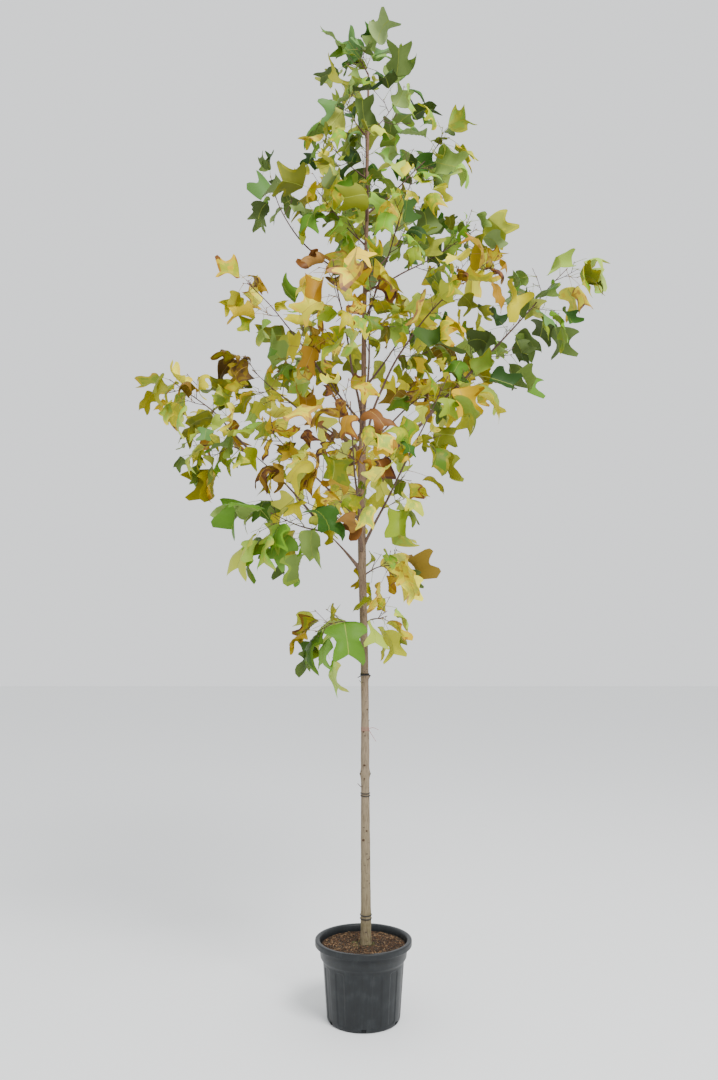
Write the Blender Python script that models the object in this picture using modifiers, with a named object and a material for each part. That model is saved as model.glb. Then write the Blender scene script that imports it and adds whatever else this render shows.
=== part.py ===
"""A young tulip tree with a sparse autumn crown, standing in a round nursery pot.

Metres, +Z up.  The origin is the centre of the pot's flat underside, +X is to the tree's
right and -Y is its front.  The pot, the soil, the trunk, its ties, every bough and every
mass of foliage is one named object, one closed solid.

A limb is one quadratic arc, given by its height on the trunk, the side it grows to, how far
it reaches out, how far it rises and how much it bows.  The first part of the arc is a bare
bough.  The rest is the stem of a mass: twigs turn round it by the golden angle, and leaves
round the twigs, with every free choice drawn by the mass's own name.
"""

import math
import random
from collections import namedtuple

import bmesh
import bpy
from mathutils import Matrix, Vector

UP = Vector((0.0, 0.0, 1.0))
GAP = 0.0003                     # left between two pieces that touch
GOLDEN_ANGLE = math.radians(137.5)

# ---------------------------------------------------------------- pot and soil
POT_HEIGHT = 0.335
POT_RIM_RADIUS = 0.2165          # outside of the rolled lip
POT_BAND_RADIUS = 0.198          # outside, right under the lip
POT_SHOULDER_RADIUS = 0.181      # outside, right under the shoulder
POT_FOOT_RADIUS = 0.1625         # outside, just above the base
POT_BASE_RADIUS = 0.152          # the flat underside
POT_WALL = 0.003
POT_FLOOR = 0.004
LIP_DEPTH = 0.026
LIP_ROUND = 0.005
BAND_BOTTOM = 0.262              # the band narrows to the shoulder from here ...
SHOULDER_BOTTOM = 0.246          # ... down to here
FOOT_CHAMFER = 0.012
POT_SIDES = 32
SOIL_TOP = POT_HEIGHT - 0.028
SOIL_FALL = 0.003                # how much lower the soil lies at the wall
SOIL_FLAT_RADIUS = 0.05          # level soil round the trunk
SOIL_SLACK = 0.0006              # sideways, so the sloping walls stay a gap apart

# ---------------------------------------------------------------- trunk and ties
TRUNK_TOP = 4.56
TRUNK_SIDES = 10
# height above the floor, sideways lean
TRUNK_LEAN = ((0.30, 0.011), (1.30, 0.008), (2.33, -0.008), (3.10, 0.004), (3.90, 0.021), (4.56, 0.028))
# height above the floor, radius: root flare, long clean stem, whorl of boughs, thin leader
TRUNK_RADII = (
    (0.30, 0.0280), (0.325, 0.0252), (0.37, 0.0235), (0.60, 0.0220), (1.00, 0.0198), (1.45, 0.0182),
    (1.90, 0.0180), (2.20, 0.0192), (2.45, 0.0186), (2.62, 0.0160), (2.85, 0.0132), (3.20, 0.0112),
    (3.60, 0.0098), (4.10, 0.0084), (4.40, 0.0062), (4.56, 0.0042),
)
TRUNK_STEP = 0.24
TIE_THICKNESS = 0.0042
TIE_PITCH = 0.012                # rise to a turn
TIE_POINTS = 8                   # to a turn
TIE_SIDES = 4
# node, height of the lowest turn, turns
TIES = (("tie_low", 0.415, 2), ("tie_middle", 0.944, 2), ("tie_high", 1.498, 1))

# ---------------------------------------------------------------- limbs
# foot: height on the trunk.  side: degrees, 0 right, 90 back, 180 left, 270 front.
# reach and rise: from the limb's foot to its tip.  bow: sag (+) or arch (-) of the arc, in its
# own lengths.  thick: radius at the foot.  bare: share of the arc without leaves.
# twigs: side twigs of the mass, up to spread long.  hang: how far leaves turn down, 0 to 1.
# leaf: length of a blade.
Limb = namedtuple("Limb", "name carrier foot side reach rise bow thick bare twigs spread hang leaf")
LIMBS = (
    # left side of the crown, from the lowest up
    Limb("left_skirt", "trunk", 1.72, 190, 0.22, -0.02, -0.3, 0.0032, 0.00, 4, 0.10, 0.75, 0.150),
    Limb("left_long_foot", "trunk", 1.98, 183, 0.17, 0.19, 0.0, 0.0085, 1.00, 0, 0.0, 0.0, 0.0),
    Limb("left_hanging", "left_long_foot", 0, 192, 0.26, 0.08, 0.1, 0.0040, 0.00, 6, 0.12, 0.80, 0.170),
    Limb("left_long", "left_long_foot", 0, 183, 0.36, 0.38, -0.05, 0.0070, 1.00, 0, 0.0, 0.0, 0.0),
    Limb("left_middle", "left_long", 0, 200, 0.24, 0.02, -0.15, 0.0036, 0.00, 5, 0.13, 0.75, 0.125),
    Limb("left_outer", "left_long", 0, 181, 0.40, 0.36, -0.08, 0.0050, 0.00, 6, 0.14, 0.50, 0.125),
    Limb("left_inner", "trunk", 2.18, 192, 0.30, 0.14, 0.0, 0.0034, 0.00, 5, 0.12, 0.70, 0.125),
    Limb("left_gold", "trunk", 2.22, 208, 0.48, 0.40, 0.03, 0.0065, 0.40, 6, 0.15, 0.65, 0.125),
    Limb("left_back", "trunk", 2.57, 163, 0.58, 0.46, 0.06, 0.0060, 0.42, 5, 0.17, 0.55, 0.130),
    Limb("left_upright", "trunk", 2.51, 195, 0.56, 0.84, -0.13, 0.0070, 0.45, 4, 0.16, 0.45, 0.120),
    Limb("left_high", "trunk", 3.43, 172, 0.49, 0.60, 0.26, 0.0055, 0.62, 2, 0.12, 0.45, 0.130),
    Limb("left_spur", "trunk", 3.62, 186, 0.26, 0.30, 0.05, 0.0035, 0.00, 4, 0.12, 0.55, 0.125),
    Limb("left_top", "trunk", 3.98, 176, 0.22, 0.22, 0.05, 0.0032, 0.00, 4, 0.12, 0.50, 0.120),
    Limb("left_tip", "trunk", 4.20, 188, 0.12, 0.22, 0.10, 0.0028, 0.00, 4, 0.10, 0.50, 0.120),
    # right side of the crown, from the lowest up
    Limb("right_skirt", "trunk", 1.73, 340, 0.09, 0.03, -0.3, 0.0030, 0.00, 3, 0.10, 0.80, 0.120),
    Limb("right_low", "trunk", 1.96, 20, 0.16, 0.06, -0.2, 0.0034, 0.00, 5, 0.14, 0.75, 0.125),
    Limb("right_front", "trunk", 2.09, 328, 0.46, 0.76, 0.0, 0.0065, 0.16, 6, 0.14, 0.70, 0.125),
    Limb("right_long", "trunk", 2.42, 5, 1.05, 1.12, 0.02, 0.0095, 0.34, 9, 0.17, 0.60, 0.140),
    Limb("right_fork", "trunk", 2.58, 32, 0.62, 0.56, 0.0, 0.0055, 0.40, 5, 0.15, 0.60, 0.130),
    Limb("right_upright", "trunk", 2.50, 343, 0.62, 0.94, -0.24, 0.0075, 0.45, 6, 0.15, 0.50, 0.120),
    Limb("leader_second", "trunk", 2.62, 282, 0.15, 0.80, 0.18, 0.0070, 0.42, 5, 0.14, 0.55, 0.125),
    Limb("right_high", "trunk", 3.38, 10, 0.58, 0.38, 0.05, 0.0050, 0.38, 5, 0.13, 0.50, 0.125),
    Limb("right_back_high", "trunk", 3.46, 42, 0.36, 0.54, 0.15, 0.0045, 0.45, 4, 0.12, 0.45, 0.125),
    Limb("right_top", "trunk", 3.79, 14, 0.40, 0.46, 0.05, 0.0040, 0.40, 4, 0.12, 0.45, 0.130),
    Limb("right_tip", "trunk", 4.22, 8, 0.16, 0.22, 0.05, 0.0028, 0.00, 4, 0.10, 0.45, 0.125),
    # limbs towards the front and the back
    Limb("front_low", "trunk", 2.07, 266, 0.70, 0.52, 0.05, 0.0080, 0.42, 5, 0.18, 0.60, 0.110),
    Limb("front_middle", "trunk", 2.72, 256, 0.54, 0.56, 0.03, 0.0065, 0.42, 4, 0.16, 0.55, 0.110),
    Limb("front_high", "trunk", 3.22, 298, 0.46, 0.52, 0.05, 0.0050, 0.42, 4, 0.14, 0.50, 0.110),
    Limb("front_top", "trunk", 3.74, 268, 0.28, 0.34, 0.05, 0.0034, 0.00, 4, 0.12, 0.50, 0.110),
    Limb("back_low", "trunk", 2.20, 92, 0.80, 0.56, 0.05, 0.0085, 0.42, 5, 0.18, 0.60, 0.135),
    Limb("back_left", "trunk", 2.70, 122, 0.62, 0.64, 0.03, 0.0065, 0.42, 4, 0.16, 0.55, 0.130),
    Limb("back_right", "trunk", 2.88, 60, 0.60, 0.60, 0.03, 0.0060, 0.42, 4, 0.16, 0.50, 0.130),
    Limb("back_top", "trunk", 3.66, 98, 0.36, 0.46, 0.05, 0.0036, 0.00, 4, 0.13, 0.50, 0.125),
    Limb("top", "tip", 0, 180, 0.04, 0.08, 0.0, 0.0036, 0.00, 5, 0.10, 0.15, 0.120),
)
LIMB_STEP = 0.12                 # between the points of an arc
LIMB_WANDER = 0.004              # how far a point strays from the arc
LIMB_TIP_RADIUS = 0.0018
COLLAR = 0.35                    # how much a limb widens at its foot
COLLAR_LENGTH = 0.03
BOUGH_SIDES = 5
STEM_SIDES = 4
SUNK_FOOT = 0.6                  # how deep a forked limb starts in its carrier, in radii
CUTTER_MARGIN = 1.15             # a faceted cutter clears a faceted foot by a full gap
WELD = 0.000002

# ---------------------------------------------------------------- twigs and leaves
TWIG_SIDES = 3
TWIG_RADIUS = 0.0021
TWIG_TIP_RADIUS = 0.0014
TWIG_OPENING = math.radians(52)
TWIG_LIFT = 0.30                 # how far twigs turn up towards their tips
LEAVES_ON_TWIG = 2
LEAF_SPACING = 0.05
LEAF_TRIALS = 5                  # other turns tried before a leaf is left out
BLADE_SCALE = 1.20               # larger than life, because the leaves are fewer
PETIOLE_RADIUS = 0.0012
PETIOLE_LENGTH = 0.62            # in blade lengths
BLADE_THICKNESS = 0.028          # in blade lengths, at the middle of the blade
# outline of a tulip tree's leaf round its middle, in blade lengths: across, along.  It runs
# from a side hollow by the upper lobe, the notch, and the lower lobe to the base and back.
BLADE_OUTLINE = (
    (0.31, 0.53), (0.46, 1.00), (0.00, 0.84), (-0.46, 1.00),
    (-0.31, 0.53), (-0.56, 0.20), (0.00, 0.00), (0.56, 0.20),
)
BLADE_BASE = 6                   # the corner that the petiole takes the place of
BLADE_MIDDLE = 0.50              # along the midrib
CELL = 0.010                     # space is shared out in cells of this size

Leaf = namedtuple("Leaf", "root base across along normal length fold curl")
Twig = namedtuple("Twig", "points radii turn")


# ---------------------------------------------------------------- small helpers
def mix(pairs, at):
    """Read a table of (position, value) pairs at a position, smoothly between them."""
    if at <= pairs[0][0]:
        return pairs[0][1]
    for (low, first), (high, second) in zip(pairs, pairs[1:]):
        if at <= high:
            share = (at - low) / (high - low)
            share = share * share * (3.0 - 2.0 * share)
            return first + (second - first) * share
    return pairs[-1][1]


def trunk_centre(height):
    """The trunk's centre line at a height."""
    return Vector((mix(TRUNK_LEAN, height), 0.0, height))


def path_length(points):
    return sum((b - a).length for a, b in zip(points, points[1:]))


def along_path(points, share):
    """The place and the direction at a share of a path's length."""
    left = max(share, 0.0) * path_length(points)
    for a, b in zip(points, points[1:]):
        run = (b - a).length
        if left <= run or b is points[-1]:
            return a.lerp(b, min(left / run, 1.0)), (b - a).normalized()
        left -= run


def turned_away(direction, turn):
    """A unit vector square to a direction, turned about it from the most upright one."""
    upright = UP - direction * direction.dot(UP)
    if upright.length < 0.05:
        upright = Vector((1.0, 0.0, 0.0)) - direction * direction.x
    return Matrix.Rotation(turn, 3, direction) @ upright.normalized()


# ---------------------------------------------------------------- the rule of growth
def limb_path(limb, start):
    """The limb's arc from its start to its tip, straying a little from the true curve."""
    rng = random.Random(limb.name)
    out = Vector((math.cos(math.radians(limb.side)), math.sin(math.radians(limb.side)), 0.0))
    chord = out * limb.reach + UP * limb.rise
    sag = (out * limb.rise - UP * limb.reach) * limb.bow
    bend = start + chord * 0.5 + sag
    steps = max(2, round(chord.length / LIMB_STEP))
    points = []
    for step in range(steps + 1):
        t = step / steps
        point = start.lerp(bend, t).lerp(bend.lerp(start + chord, t), t)
        stray = Vector([rng.uniform(-1.0, 1.0) for _ in range(3)]) * LIMB_WANDER
        points.append(point + stray if 0 < step < steps else point)
    return points


def limb_radii(limb, points):
    """Tapering radii, wider in the collar at the foot."""
    whole = path_length(points)
    radii = []
    for index in range(len(points)):
        gone = path_length(points[: index + 1])
        taper = limb.thick + (LIMB_TIP_RADIUS - limb.thick) * gone / whole
        radii.append(taper * (1.0 + COLLAR * math.exp(-gone / COLLAR_LENGTH)))
    return radii


def split_path(points, radii, share):
    """Cut an arc in two at a share of its points' run; the second part starts a gap later."""
    cut, direction = along_path(points, share)
    gone = 0.0
    for index, (a, b) in enumerate(zip(points, points[1:])):
        gone += (b - a).length
        if gone >= share * path_length(points):
            break
    span = (points[index + 1] - points[index]).length
    part = (cut - points[index]).length / span
    radius = radii[index] + (radii[index + 1] - radii[index]) * part
    first = (points[: index + 1] + [cut], radii[: index + 1] + [radius])
    second = ([cut + direction * GAP] + points[index + 1:], [radius * 0.94] + radii[index + 1:])
    return first, second


class Room:
    """Cells of space, each held by one limb or one mass."""

    def __init__(self):
        self.holder = {}

    @staticmethod
    def cell(point):
        return math.floor(point.x / CELL), math.floor(point.y / CELL), math.floor(point.z / CELL)

    def claim(self, points, name):
        for point in points:
            self.holder.setdefault(self.cell(point), name)

    def is_free(self, points, allowed):
        """True if every cell at or beside the points is empty or held by one of the allowed."""
        beside = (-1, 0, 1)
        for cell in {self.cell(point) for point in points}:
            for i in beside:
                for j in beside:
                    for k in beside:
                        holder = self.holder.get((cell[0] + i, cell[1] + j, cell[2] + k))
                        if holder is not None and holder not in allowed:
                            return False
        return True


def tube_samples(points, radii):
    """Points all over a tube's surface, half a cell apart."""
    samples = []
    for a, b, first, second in zip(points, points[1:], radii, radii[1:]):
        direction = (b - a).normalized()
        rings = max(1, math.ceil((b - a).length / (CELL * 0.5)))
        for ring in range(rings + 1):
            centre = a.lerp(b, ring / rings)
            radius = first + (second - first) * ring / rings
            sides = max(4, math.ceil(math.tau * radius / (CELL * 0.5)))
            samples += [
                centre + turned_away(direction, math.tau * side / sides) * radius for side in range(sides)
            ]
    return samples


def blade_point(leaf, across, along, height=0.0):
    """A point of a leaf's blade, folded up along its midrib and curled down at its ends."""
    height += leaf.fold * abs(across) - leaf.curl * (along - BLADE_MIDDLE) ** 2
    return leaf.base + (leaf.across * across + leaf.along * along + leaf.normal * height) * leaf.length


def blade_samples(leaf):
    """Points all over a leaf's blade, about half a cell apart."""
    rings = max(2, math.ceil(0.6 * leaf.length / (CELL * 0.5)))
    samples = []
    for (x1, y1), (x2, y2) in zip(BLADE_OUTLINE, BLADE_OUTLINE[1:] + BLADE_OUTLINE[:1]):
        for ring in range(rings + 1):
            out = ring / rings
            for step in range(ring + 1):
                turn = step / max(ring, 1)
                x = (x1 + (x2 - x1) * turn) * out
                y = BLADE_MIDDLE + (y1 + (y2 - y1) * turn - BLADE_MIDDLE) * out
                samples.append(blade_point(leaf, x, y))
    return samples


def petiole_samples(leaf):
    """Points down the outer part of a leaf's petiole."""
    steps = math.ceil((leaf.base - leaf.root).length / (CELL * 0.5))
    return [leaf.root.lerp(leaf.base, step / steps) for step in range(steps // 3, steps + 1)]


def first_turn(limb):
    """Where round its stem a mass's first twig stands."""
    return random.Random(limb.name + " turn").uniform(0.0, math.tau)


def grow_leaf(limb, mark, root, direction, turn, outward):
    """One leaf at a node: its petiole leans out, and its blade turns down by the limb's hang."""
    rng = random.Random(f"{limb.name} leaf {mark}")
    length = limb.leaf * BLADE_SCALE * rng.uniform(0.62, 1.20)
    lean = (direction * rng.uniform(0.4, 0.9) + turned_away(direction, turn) + UP * 0.25).normalized()
    hang = min(1.0, max(0.0, limb.hang + rng.uniform(-0.35, 0.35)))
    petiole = (lean - UP * hang * 0.9).normalized()
    base = root + petiole * length * PETIOLE_LENGTH * rng.uniform(0.7, 1.2)
    along = (petiole * (1.0 - hang * 0.7) - UP * hang).normalized()
    facing = UP * rng.uniform(0.2, 1.0) + outward * rng.uniform(0.3, 1.0)
    facing = (facing - along * facing.dot(along)).normalized()
    normal = Matrix.Rotation(math.radians(rng.gauss(0.0, 34.0)), 3, along) @ facing
    fold = rng.uniform(0.05, 0.55)
    curl = rng.uniform(0.0, 0.6)
    return Leaf(root, base, along.cross(normal), along, normal, length, fold, curl)


def grow_twig(limb, number, stem):
    """One side twig of a mass, opening from the stem and turning up a little."""
    rng = random.Random(f"{limb.name} twig {number}")
    share = (number + rng.uniform(0.25, 0.75)) / limb.twigs
    root, direction = along_path(stem, share)
    turn = first_turn(limb) + number * GOLDEN_ANGLE
    length = limb.spread * (1.0 - 0.4 * share) * rng.uniform(0.7, 1.15)
    side = turned_away(direction, turn)
    first = (direction * math.cos(TWIG_OPENING) + side * math.sin(TWIG_OPENING)).normalized()
    middle = root + first * length * 0.5
    tip = middle + (first + UP * TWIG_LIFT * (1.0 - limb.hang)).normalized() * length * 0.5
    radii = [TWIG_RADIUS, (TWIG_RADIUS + TWIG_TIP_RADIUS) / 2.0, TWIG_TIP_RADIUS]
    return Twig([root, middle, tip], radii, turn)


def grow_mass(limb, stem, room):
    """Twigs and leaves of one mass.  What would touch another mass or a limb is left out."""
    twigs, leaves = [], []
    outward = stem[-1] - trunk_centre(stem[-1].z)
    outward.z = 0.0
    outward = outward.normalized() if outward.length > 0.05 else Vector((0.0, -1.0, 0.0))

    own_wood, own_blades = {limb.name}, {limb.name + " blades"}

    def leaf_shoot(points, number, turn):
        """Leaves down a twig from its tip, each turned on from the last."""
        for place in range(LEAVES_ON_TWIG):
            node, heading = along_path(points, 1.0 - place * LEAF_SPACING / path_length(points))
            for trial in range(LEAF_TRIALS):
                mark = f"{number} {place} {trial}"
                leaf = grow_leaf(limb, mark, node, heading, turn + (place + trial) * GOLDEN_ANGLE, outward)
                blade, petiole = blade_samples(leaf), petiole_samples(leaf)
                if room.is_free(blade, own_wood) and room.is_free(petiole, own_wood | own_blades):
                    room.claim(petiole, limb.name)
                    room.claim(blade, limb.name + " blades")
                    leaves.append(leaf)
                    break

    for number in range(limb.twigs):
        twig = grow_twig(limb, number, stem)
        samples = tube_samples(twig.points, twig.radii)
        if room.is_free(samples, own_wood):
            room.claim(samples, limb.name)
            twigs.append(twig)
    leaf_shoot(stem, limb.twigs, first_turn(limb) + limb.twigs * GOLDEN_ANGLE)
    for number, twig in enumerate(twigs):
        leaf_shoot(twig.points, number, twig.turn)
    return twigs, leaves


def plan_tree():
    """Every limb's path and every mass's twigs and leaves, before any mesh is made."""
    heights = [SOIL_TOP + GAP]
    while heights[-1] + TRUNK_STEP < TRUNK_TOP:
        heights.append(heights[-1] + TRUNK_STEP)
    flare = [height for height, _ in TRUNK_RADII if SOIL_TOP < height < 0.4]
    heights = sorted(heights + flare + [TRUNK_TOP])
    trunk = [trunk_centre(height) for height in heights], [mix(TRUNK_RADII, height) for height in heights]
    room = Room()
    room.claim(tube_samples(*trunk), "trunk")
    tips, boughs, stems = {}, {}, {}
    for limb in LIMBS:
        if limb.carrier == "trunk":
            start = trunk_centre(limb.foot)
        elif limb.carrier == "tip":
            start = trunk[0][-1] + UP * GAP
        else:
            tip, direction, radius = tips[limb.carrier]
            start = tip - direction * radius * SUNK_FOOT
        points = limb_path(limb, start)
        radii = limb_radii(limb, points)
        if limb.bare == 1.0:
            boughs[limb.name] = (points, radii)
            tips[limb.name] = (points[-1], (points[-1] - points[-2]).normalized(), radii[-1])
        elif limb.bare == 0.0:
            stems[limb.name] = (points, radii)
        else:
            boughs[limb.name], stems[limb.name] = split_path(points, radii, limb.bare)
    for name, (points, radii) in boughs.items():
        room.claim(tube_samples(points, radii), "bough_" + name)
    for name, (points, radii) in stems.items():
        room.claim(tube_samples(points, radii), name)
    masses = {limb.name: grow_mass(limb, stems[limb.name][0], room) for limb in LIMBS if limb.name in stems}
    return trunk, boughs, stems, masses


# ---------------------------------------------------------------- making meshes
def finish_mesh(mesh, bm):
    """Write a bmesh back as one clean closed body whose faces point out."""
    bmesh.ops.remove_doubles(bm, verts=bm.verts, dist=WELD)
    bmesh.ops.dissolve_degenerate(bm, edges=bm.edges, dist=WELD)
    bmesh.ops.recalc_face_normals(bm, faces=bm.faces)
    if bm.calc_volume(signed=True) < 0.0:
        bmesh.ops.reverse_faces(bm, faces=bm.faces)
    bm.to_mesh(mesh)
    bm.free()


def add_object(name, mesh, collection, material=None):
    obj = bpy.data.objects.new(name, mesh)
    collection.objects.link(obj)
    if material:
        mesh.materials.clear()
        mesh.materials.append(material)
    return obj


def evaluated_mesh(obj):
    """A copy of an object's mesh with its modifiers, or of a curve's surface with its caps."""
    bpy.context.view_layer.update()
    graph = bpy.context.evaluated_depsgraph_get()
    return bpy.data.meshes.new_from_object(obj.evaluated_get(graph))


def tube_mesh(points, radii, sides):
    """A closed tapering tube: a curve with a radius at each point and a polygon for its section."""
    section = bpy.data.curves.new("section", "CURVE")
    ring = section.splines.new("POLY")
    ring.points.add(sides - 1)
    for index, point in enumerate(ring.points):
        turn = math.tau * index / sides
        point.co = (math.cos(turn), math.sin(turn), 0.0, 1.0)
    ring.use_cyclic_u = True
    curve = bpy.data.curves.new("tube", "CURVE")
    curve.dimensions = "3D"
    curve.bevel_mode = "OBJECT"
    curve.use_fill_caps = True
    spline = curve.splines.new("POLY")
    spline.points.add(len(points) - 1)
    for target, point, radius in zip(spline.points, points, radii):
        target.co = (*point, 1.0)
        target.radius = radius
    section_object = add_object("section", section, bpy.context.scene.collection)
    curve.bevel_object = section_object
    curve_object = add_object("tube", curve, bpy.context.scene.collection)
    mesh = evaluated_mesh(curve_object)
    for obj in (curve_object, section_object):
        data = obj.data
        bpy.data.objects.remove(obj)
        bpy.data.curves.remove(data)
    bm = bmesh.new()
    bm.from_mesh(mesh)
    finish_mesh(mesh, bm)
    return mesh


def ring_places(path, radii, side):
    """The corners of a thin section at each point of a path, turned on from a first side."""
    rings = []
    last = (path[1] - path[0]).normalized()
    for index, (centre, radius) in enumerate(zip(path, radii)):
        direction = (path[min(index + 1, len(path) - 1)] - path[max(index - 1, 0)]).normalized()
        side = last.rotation_difference(direction) @ side
        last = direction
        turns = (Matrix.Rotation(math.tau * k / TWIG_SIDES, 3, direction) for k in range(TWIG_SIDES))
        rings.append([centre + turn @ side * radius for turn in turns])
    return rings


def leaf_mesh(leaf, twig_points, twig_radii):
    """A leaf and the twig or petiole that carries it, as one closed body.

    The blade is a flat sphere pulled out to the four lobes, folded and curled.  Its base is
    opened and joined to a thin three-sided tube that runs back to the root.
    """
    bm = bmesh.new()
    corners = {}
    count = len(BLADE_OUTLINE)
    for vert in bmesh.ops.create_uvsphere(bm, u_segments=count, v_segments=2, radius=1.0)["verts"]:
        if abs(vert.co.z) > 0.5:
            thick = math.copysign(BLADE_THICKNESS / 2.0, vert.co.z)
            corners["over" if thick > 0.0 else "under"] = vert
            vert.co = blade_point(leaf, 0.0, BLADE_MIDDLE, thick)
        else:
            corner = round(math.atan2(vert.co.y, vert.co.x) / math.tau * count) % count
            corners[corner] = vert
            vert.co = blade_point(leaf, *BLADE_OUTLINE[corner])
    bmesh.ops.delete(bm, geom=[corners[BLADE_BASE]], context="VERTS")

    path = [leaf.base] + twig_points[::-1]
    radii = [PETIOLE_RADIUS] + twig_radii[::-1]
    direction = (path[1] - path[0]).normalized()
    top = (leaf.normal - direction * leaf.normal.dot(direction)).normalized()
    rings = ring_places(path, radii, top)
    circle = bmesh.ops.create_circle(bm, segments=TWIG_SIDES, radius=1.0)["verts"]
    edges = [edge for edge in bm.edges if edge.is_wire]
    for vert, place in zip(circle, rings[0]):
        vert.co = place
    top, *sides = circle
    left, right = sorted(sides, key=lambda vert: vert.co.dot(leaf.across))
    for last_ring, ring in zip(rings, rings[1:]):
        grown = bmesh.ops.extrude_edge_only(bm, edges=edges)["geom"]
        edges = [item for item in grown if isinstance(item, bmesh.types.BMEdge) and item.is_boundary]
        for vert in (item for item in grown if isinstance(item, bmesh.types.BMVert)):
            corner = min(range(TWIG_SIDES), key=lambda k: (last_ring[k] - vert.co).length)
            vert.co = ring[corner]
    bmesh.ops.edgeloop_fill(bm, edges=edges)

    over, under = corners["over"], corners["under"]
    lobe_left, lobe_right = corners[BLADE_BASE - 1], corners[BLADE_BASE + 1]
    for face in (
        (over, lobe_right, right), (over, right, top), (over, top, left), (over, left, lobe_left),
        (under, right, lobe_right), (under, left, right), (under, lobe_left, left),
    ):
        bm.faces.new(face)
    mesh = bpy.data.meshes.new("leaf")
    finish_mesh(mesh, bm)
    return mesh


def boolean_mesh(obj, operation, operand, solver="EXACT", cutting="BEAUTY"):
    """The largest body left by one Boolean with an object or with a whole collection."""
    modifier = obj.modifiers.new("fuse", "BOOLEAN")
    modifier.operation = operation
    modifier.solver = solver
    if isinstance(operand, bpy.types.Collection):
        modifier.operand_type = "COLLECTION"
        modifier.collection = operand
    else:
        modifier.object = operand
    mesh = evaluated_mesh(obj)
    obj.modifiers.clear()
    keep_outer_body(mesh, cutting)
    return mesh


def closed_union(obj, collection):
    """The union as one closed mesh, by whichever solver and triangles manage it, or None."""
    for solver in ("EXACT", "MANIFOLD"):
        for cutting in ("BEAUTY", "EAR_CLIP"):
            mesh = boolean_mesh(obj, "UNION", collection, solver, cutting)
            if is_closed(mesh):
                return mesh
            bpy.data.meshes.remove(mesh)
    return None


def fuse(obj, collection):
    """Union a stem with its leaves; where that fails, the one piece at fault is left out."""
    pieces = list(collection.objects)
    mesh = closed_union(obj, collection)
    while mesh is None:
        for piece in reversed(pieces):
            collection.objects.unlink(piece)
            mesh = closed_union(obj, collection)
            if mesh is not None:
                break
            collection.objects.link(piece)
        pieces.remove(piece)
        remove_object(piece)
    obj.data = mesh


def is_closed(mesh):
    bm = bmesh.new()
    bm.from_mesh(mesh)
    closed = all(edge.is_manifold for edge in bm.edges)
    bm.free()
    return closed


def keep_outer_body(mesh, cutting):
    """Fill sealed hollows and drop loose scraps: only the body with the most volume stays."""
    bm = bmesh.new()
    bm.from_mesh(mesh)
    bmesh.ops.remove_doubles(bm, verts=bm.verts, dist=WELD)
    bmesh.ops.dissolve_degenerate(bm, edges=bm.edges, dist=WELD)
    bmesh.ops.triangulate(bm, faces=bm.faces, ngon_method=cutting)
    shells, seen = [], set()
    for first in bm.faces:
        if first in seen:
            continue
        shell, waiting = [], [first]
        seen.add(first)
        while waiting:
            face = waiting.pop()
            shell.append(face)
            for edge in face.edges:
                for other in edge.link_faces:
                    if other not in seen:
                        seen.add(other)
                        waiting.append(other)
        shells.append(shell)
    shells.sort(key=shell_volume)
    for shell in shells[:-1]:
        bmesh.ops.delete(bm, geom=shell, context="FACES")
    bm.to_mesh(mesh)
    bm.free()


def shell_volume(faces):
    """Signed volume inside a shell of triangles, negative for a hollow."""
    return sum(
        face.verts[0].co.dot(face.verts[1].co.cross(face.verts[2].co)) for face in faces
    ) / 6.0


def remove_object(obj):
    mesh = obj.data
    bpy.data.objects.remove(obj)
    bpy.data.meshes.remove(mesh)


def seat(obj, carriers, scrap):
    """Cut a limb's foot a gap clear of what carries it."""
    for points, radii, sides in carriers:
        direction = (points[-1] - points[-2]).normalized()
        longer = points[:-1] + [points[-1] + direction * GAP]
        wider = [radius + GAP * CUTTER_MARGIN for radius in radii]
        cutter = add_object("cutter", tube_mesh(longer, wider, sides), scrap)
        obj.data = boolean_mesh(obj, "DIFFERENCE", cutter)
        remove_object(cutter)


# ---------------------------------------------------------------- materials
def make_material(name, colour, roughness):
    """A plain finish from an sRGB hex colour."""
    channels = [int(colour[start:start + 2], 16) / 255.0 for start in (0, 2, 4)]
    linear = [c / 12.92 if c <= 0.04045 else ((c + 0.055) / 1.055) ** 2.4 for c in channels]
    material = bpy.data.materials.new(name)
    material.use_nodes = True
    shader = material.node_tree.nodes["Principled BSDF"]
    shader.inputs["Base Color"].default_value = (*linear, 1.0)
    shader.inputs["Roughness"].default_value = roughness
    shader.inputs["Metallic"].default_value = 0.0
    return material


# ---------------------------------------------------------------- pieces
def turned_object(name, outline, sides, collection, material):
    """A solid turned from an outline that runs from the axis round its outer side to the axis."""
    mesh = bpy.data.meshes.new(name)
    mesh.from_pydata([(x, 0.0, z) for x, z in outline], [(i, i + 1) for i in range(len(outline) - 1)], [])
    obj = add_object(name, mesh, collection, material)
    screw = obj.modifiers.new("turn", "SCREW")
    screw.steps = sides
    screw.render_steps = sides
    screw.use_merge_vertices = True
    screw.merge_threshold = 0.0001
    screw.use_smooth_shade = True
    return obj


def pot_wall_outside():
    """Radius and height up the outside of the pot, from its underside to the lip."""
    return [
        (POT_BASE_RADIUS, 0.0),
        (POT_FOOT_RADIUS, FOOT_CHAMFER),
        (POT_SHOULDER_RADIUS, SHOULDER_BOTTOM),
        (POT_SHOULDER_RADIUS + 0.3 * (POT_BAND_RADIUS - POT_SHOULDER_RADIUS), SHOULDER_BOTTOM + 0.008),
        (POT_BAND_RADIUS - 0.006, BAND_BOTTOM),
        (POT_BAND_RADIUS, POT_HEIGHT - LIP_DEPTH),
    ]


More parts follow.
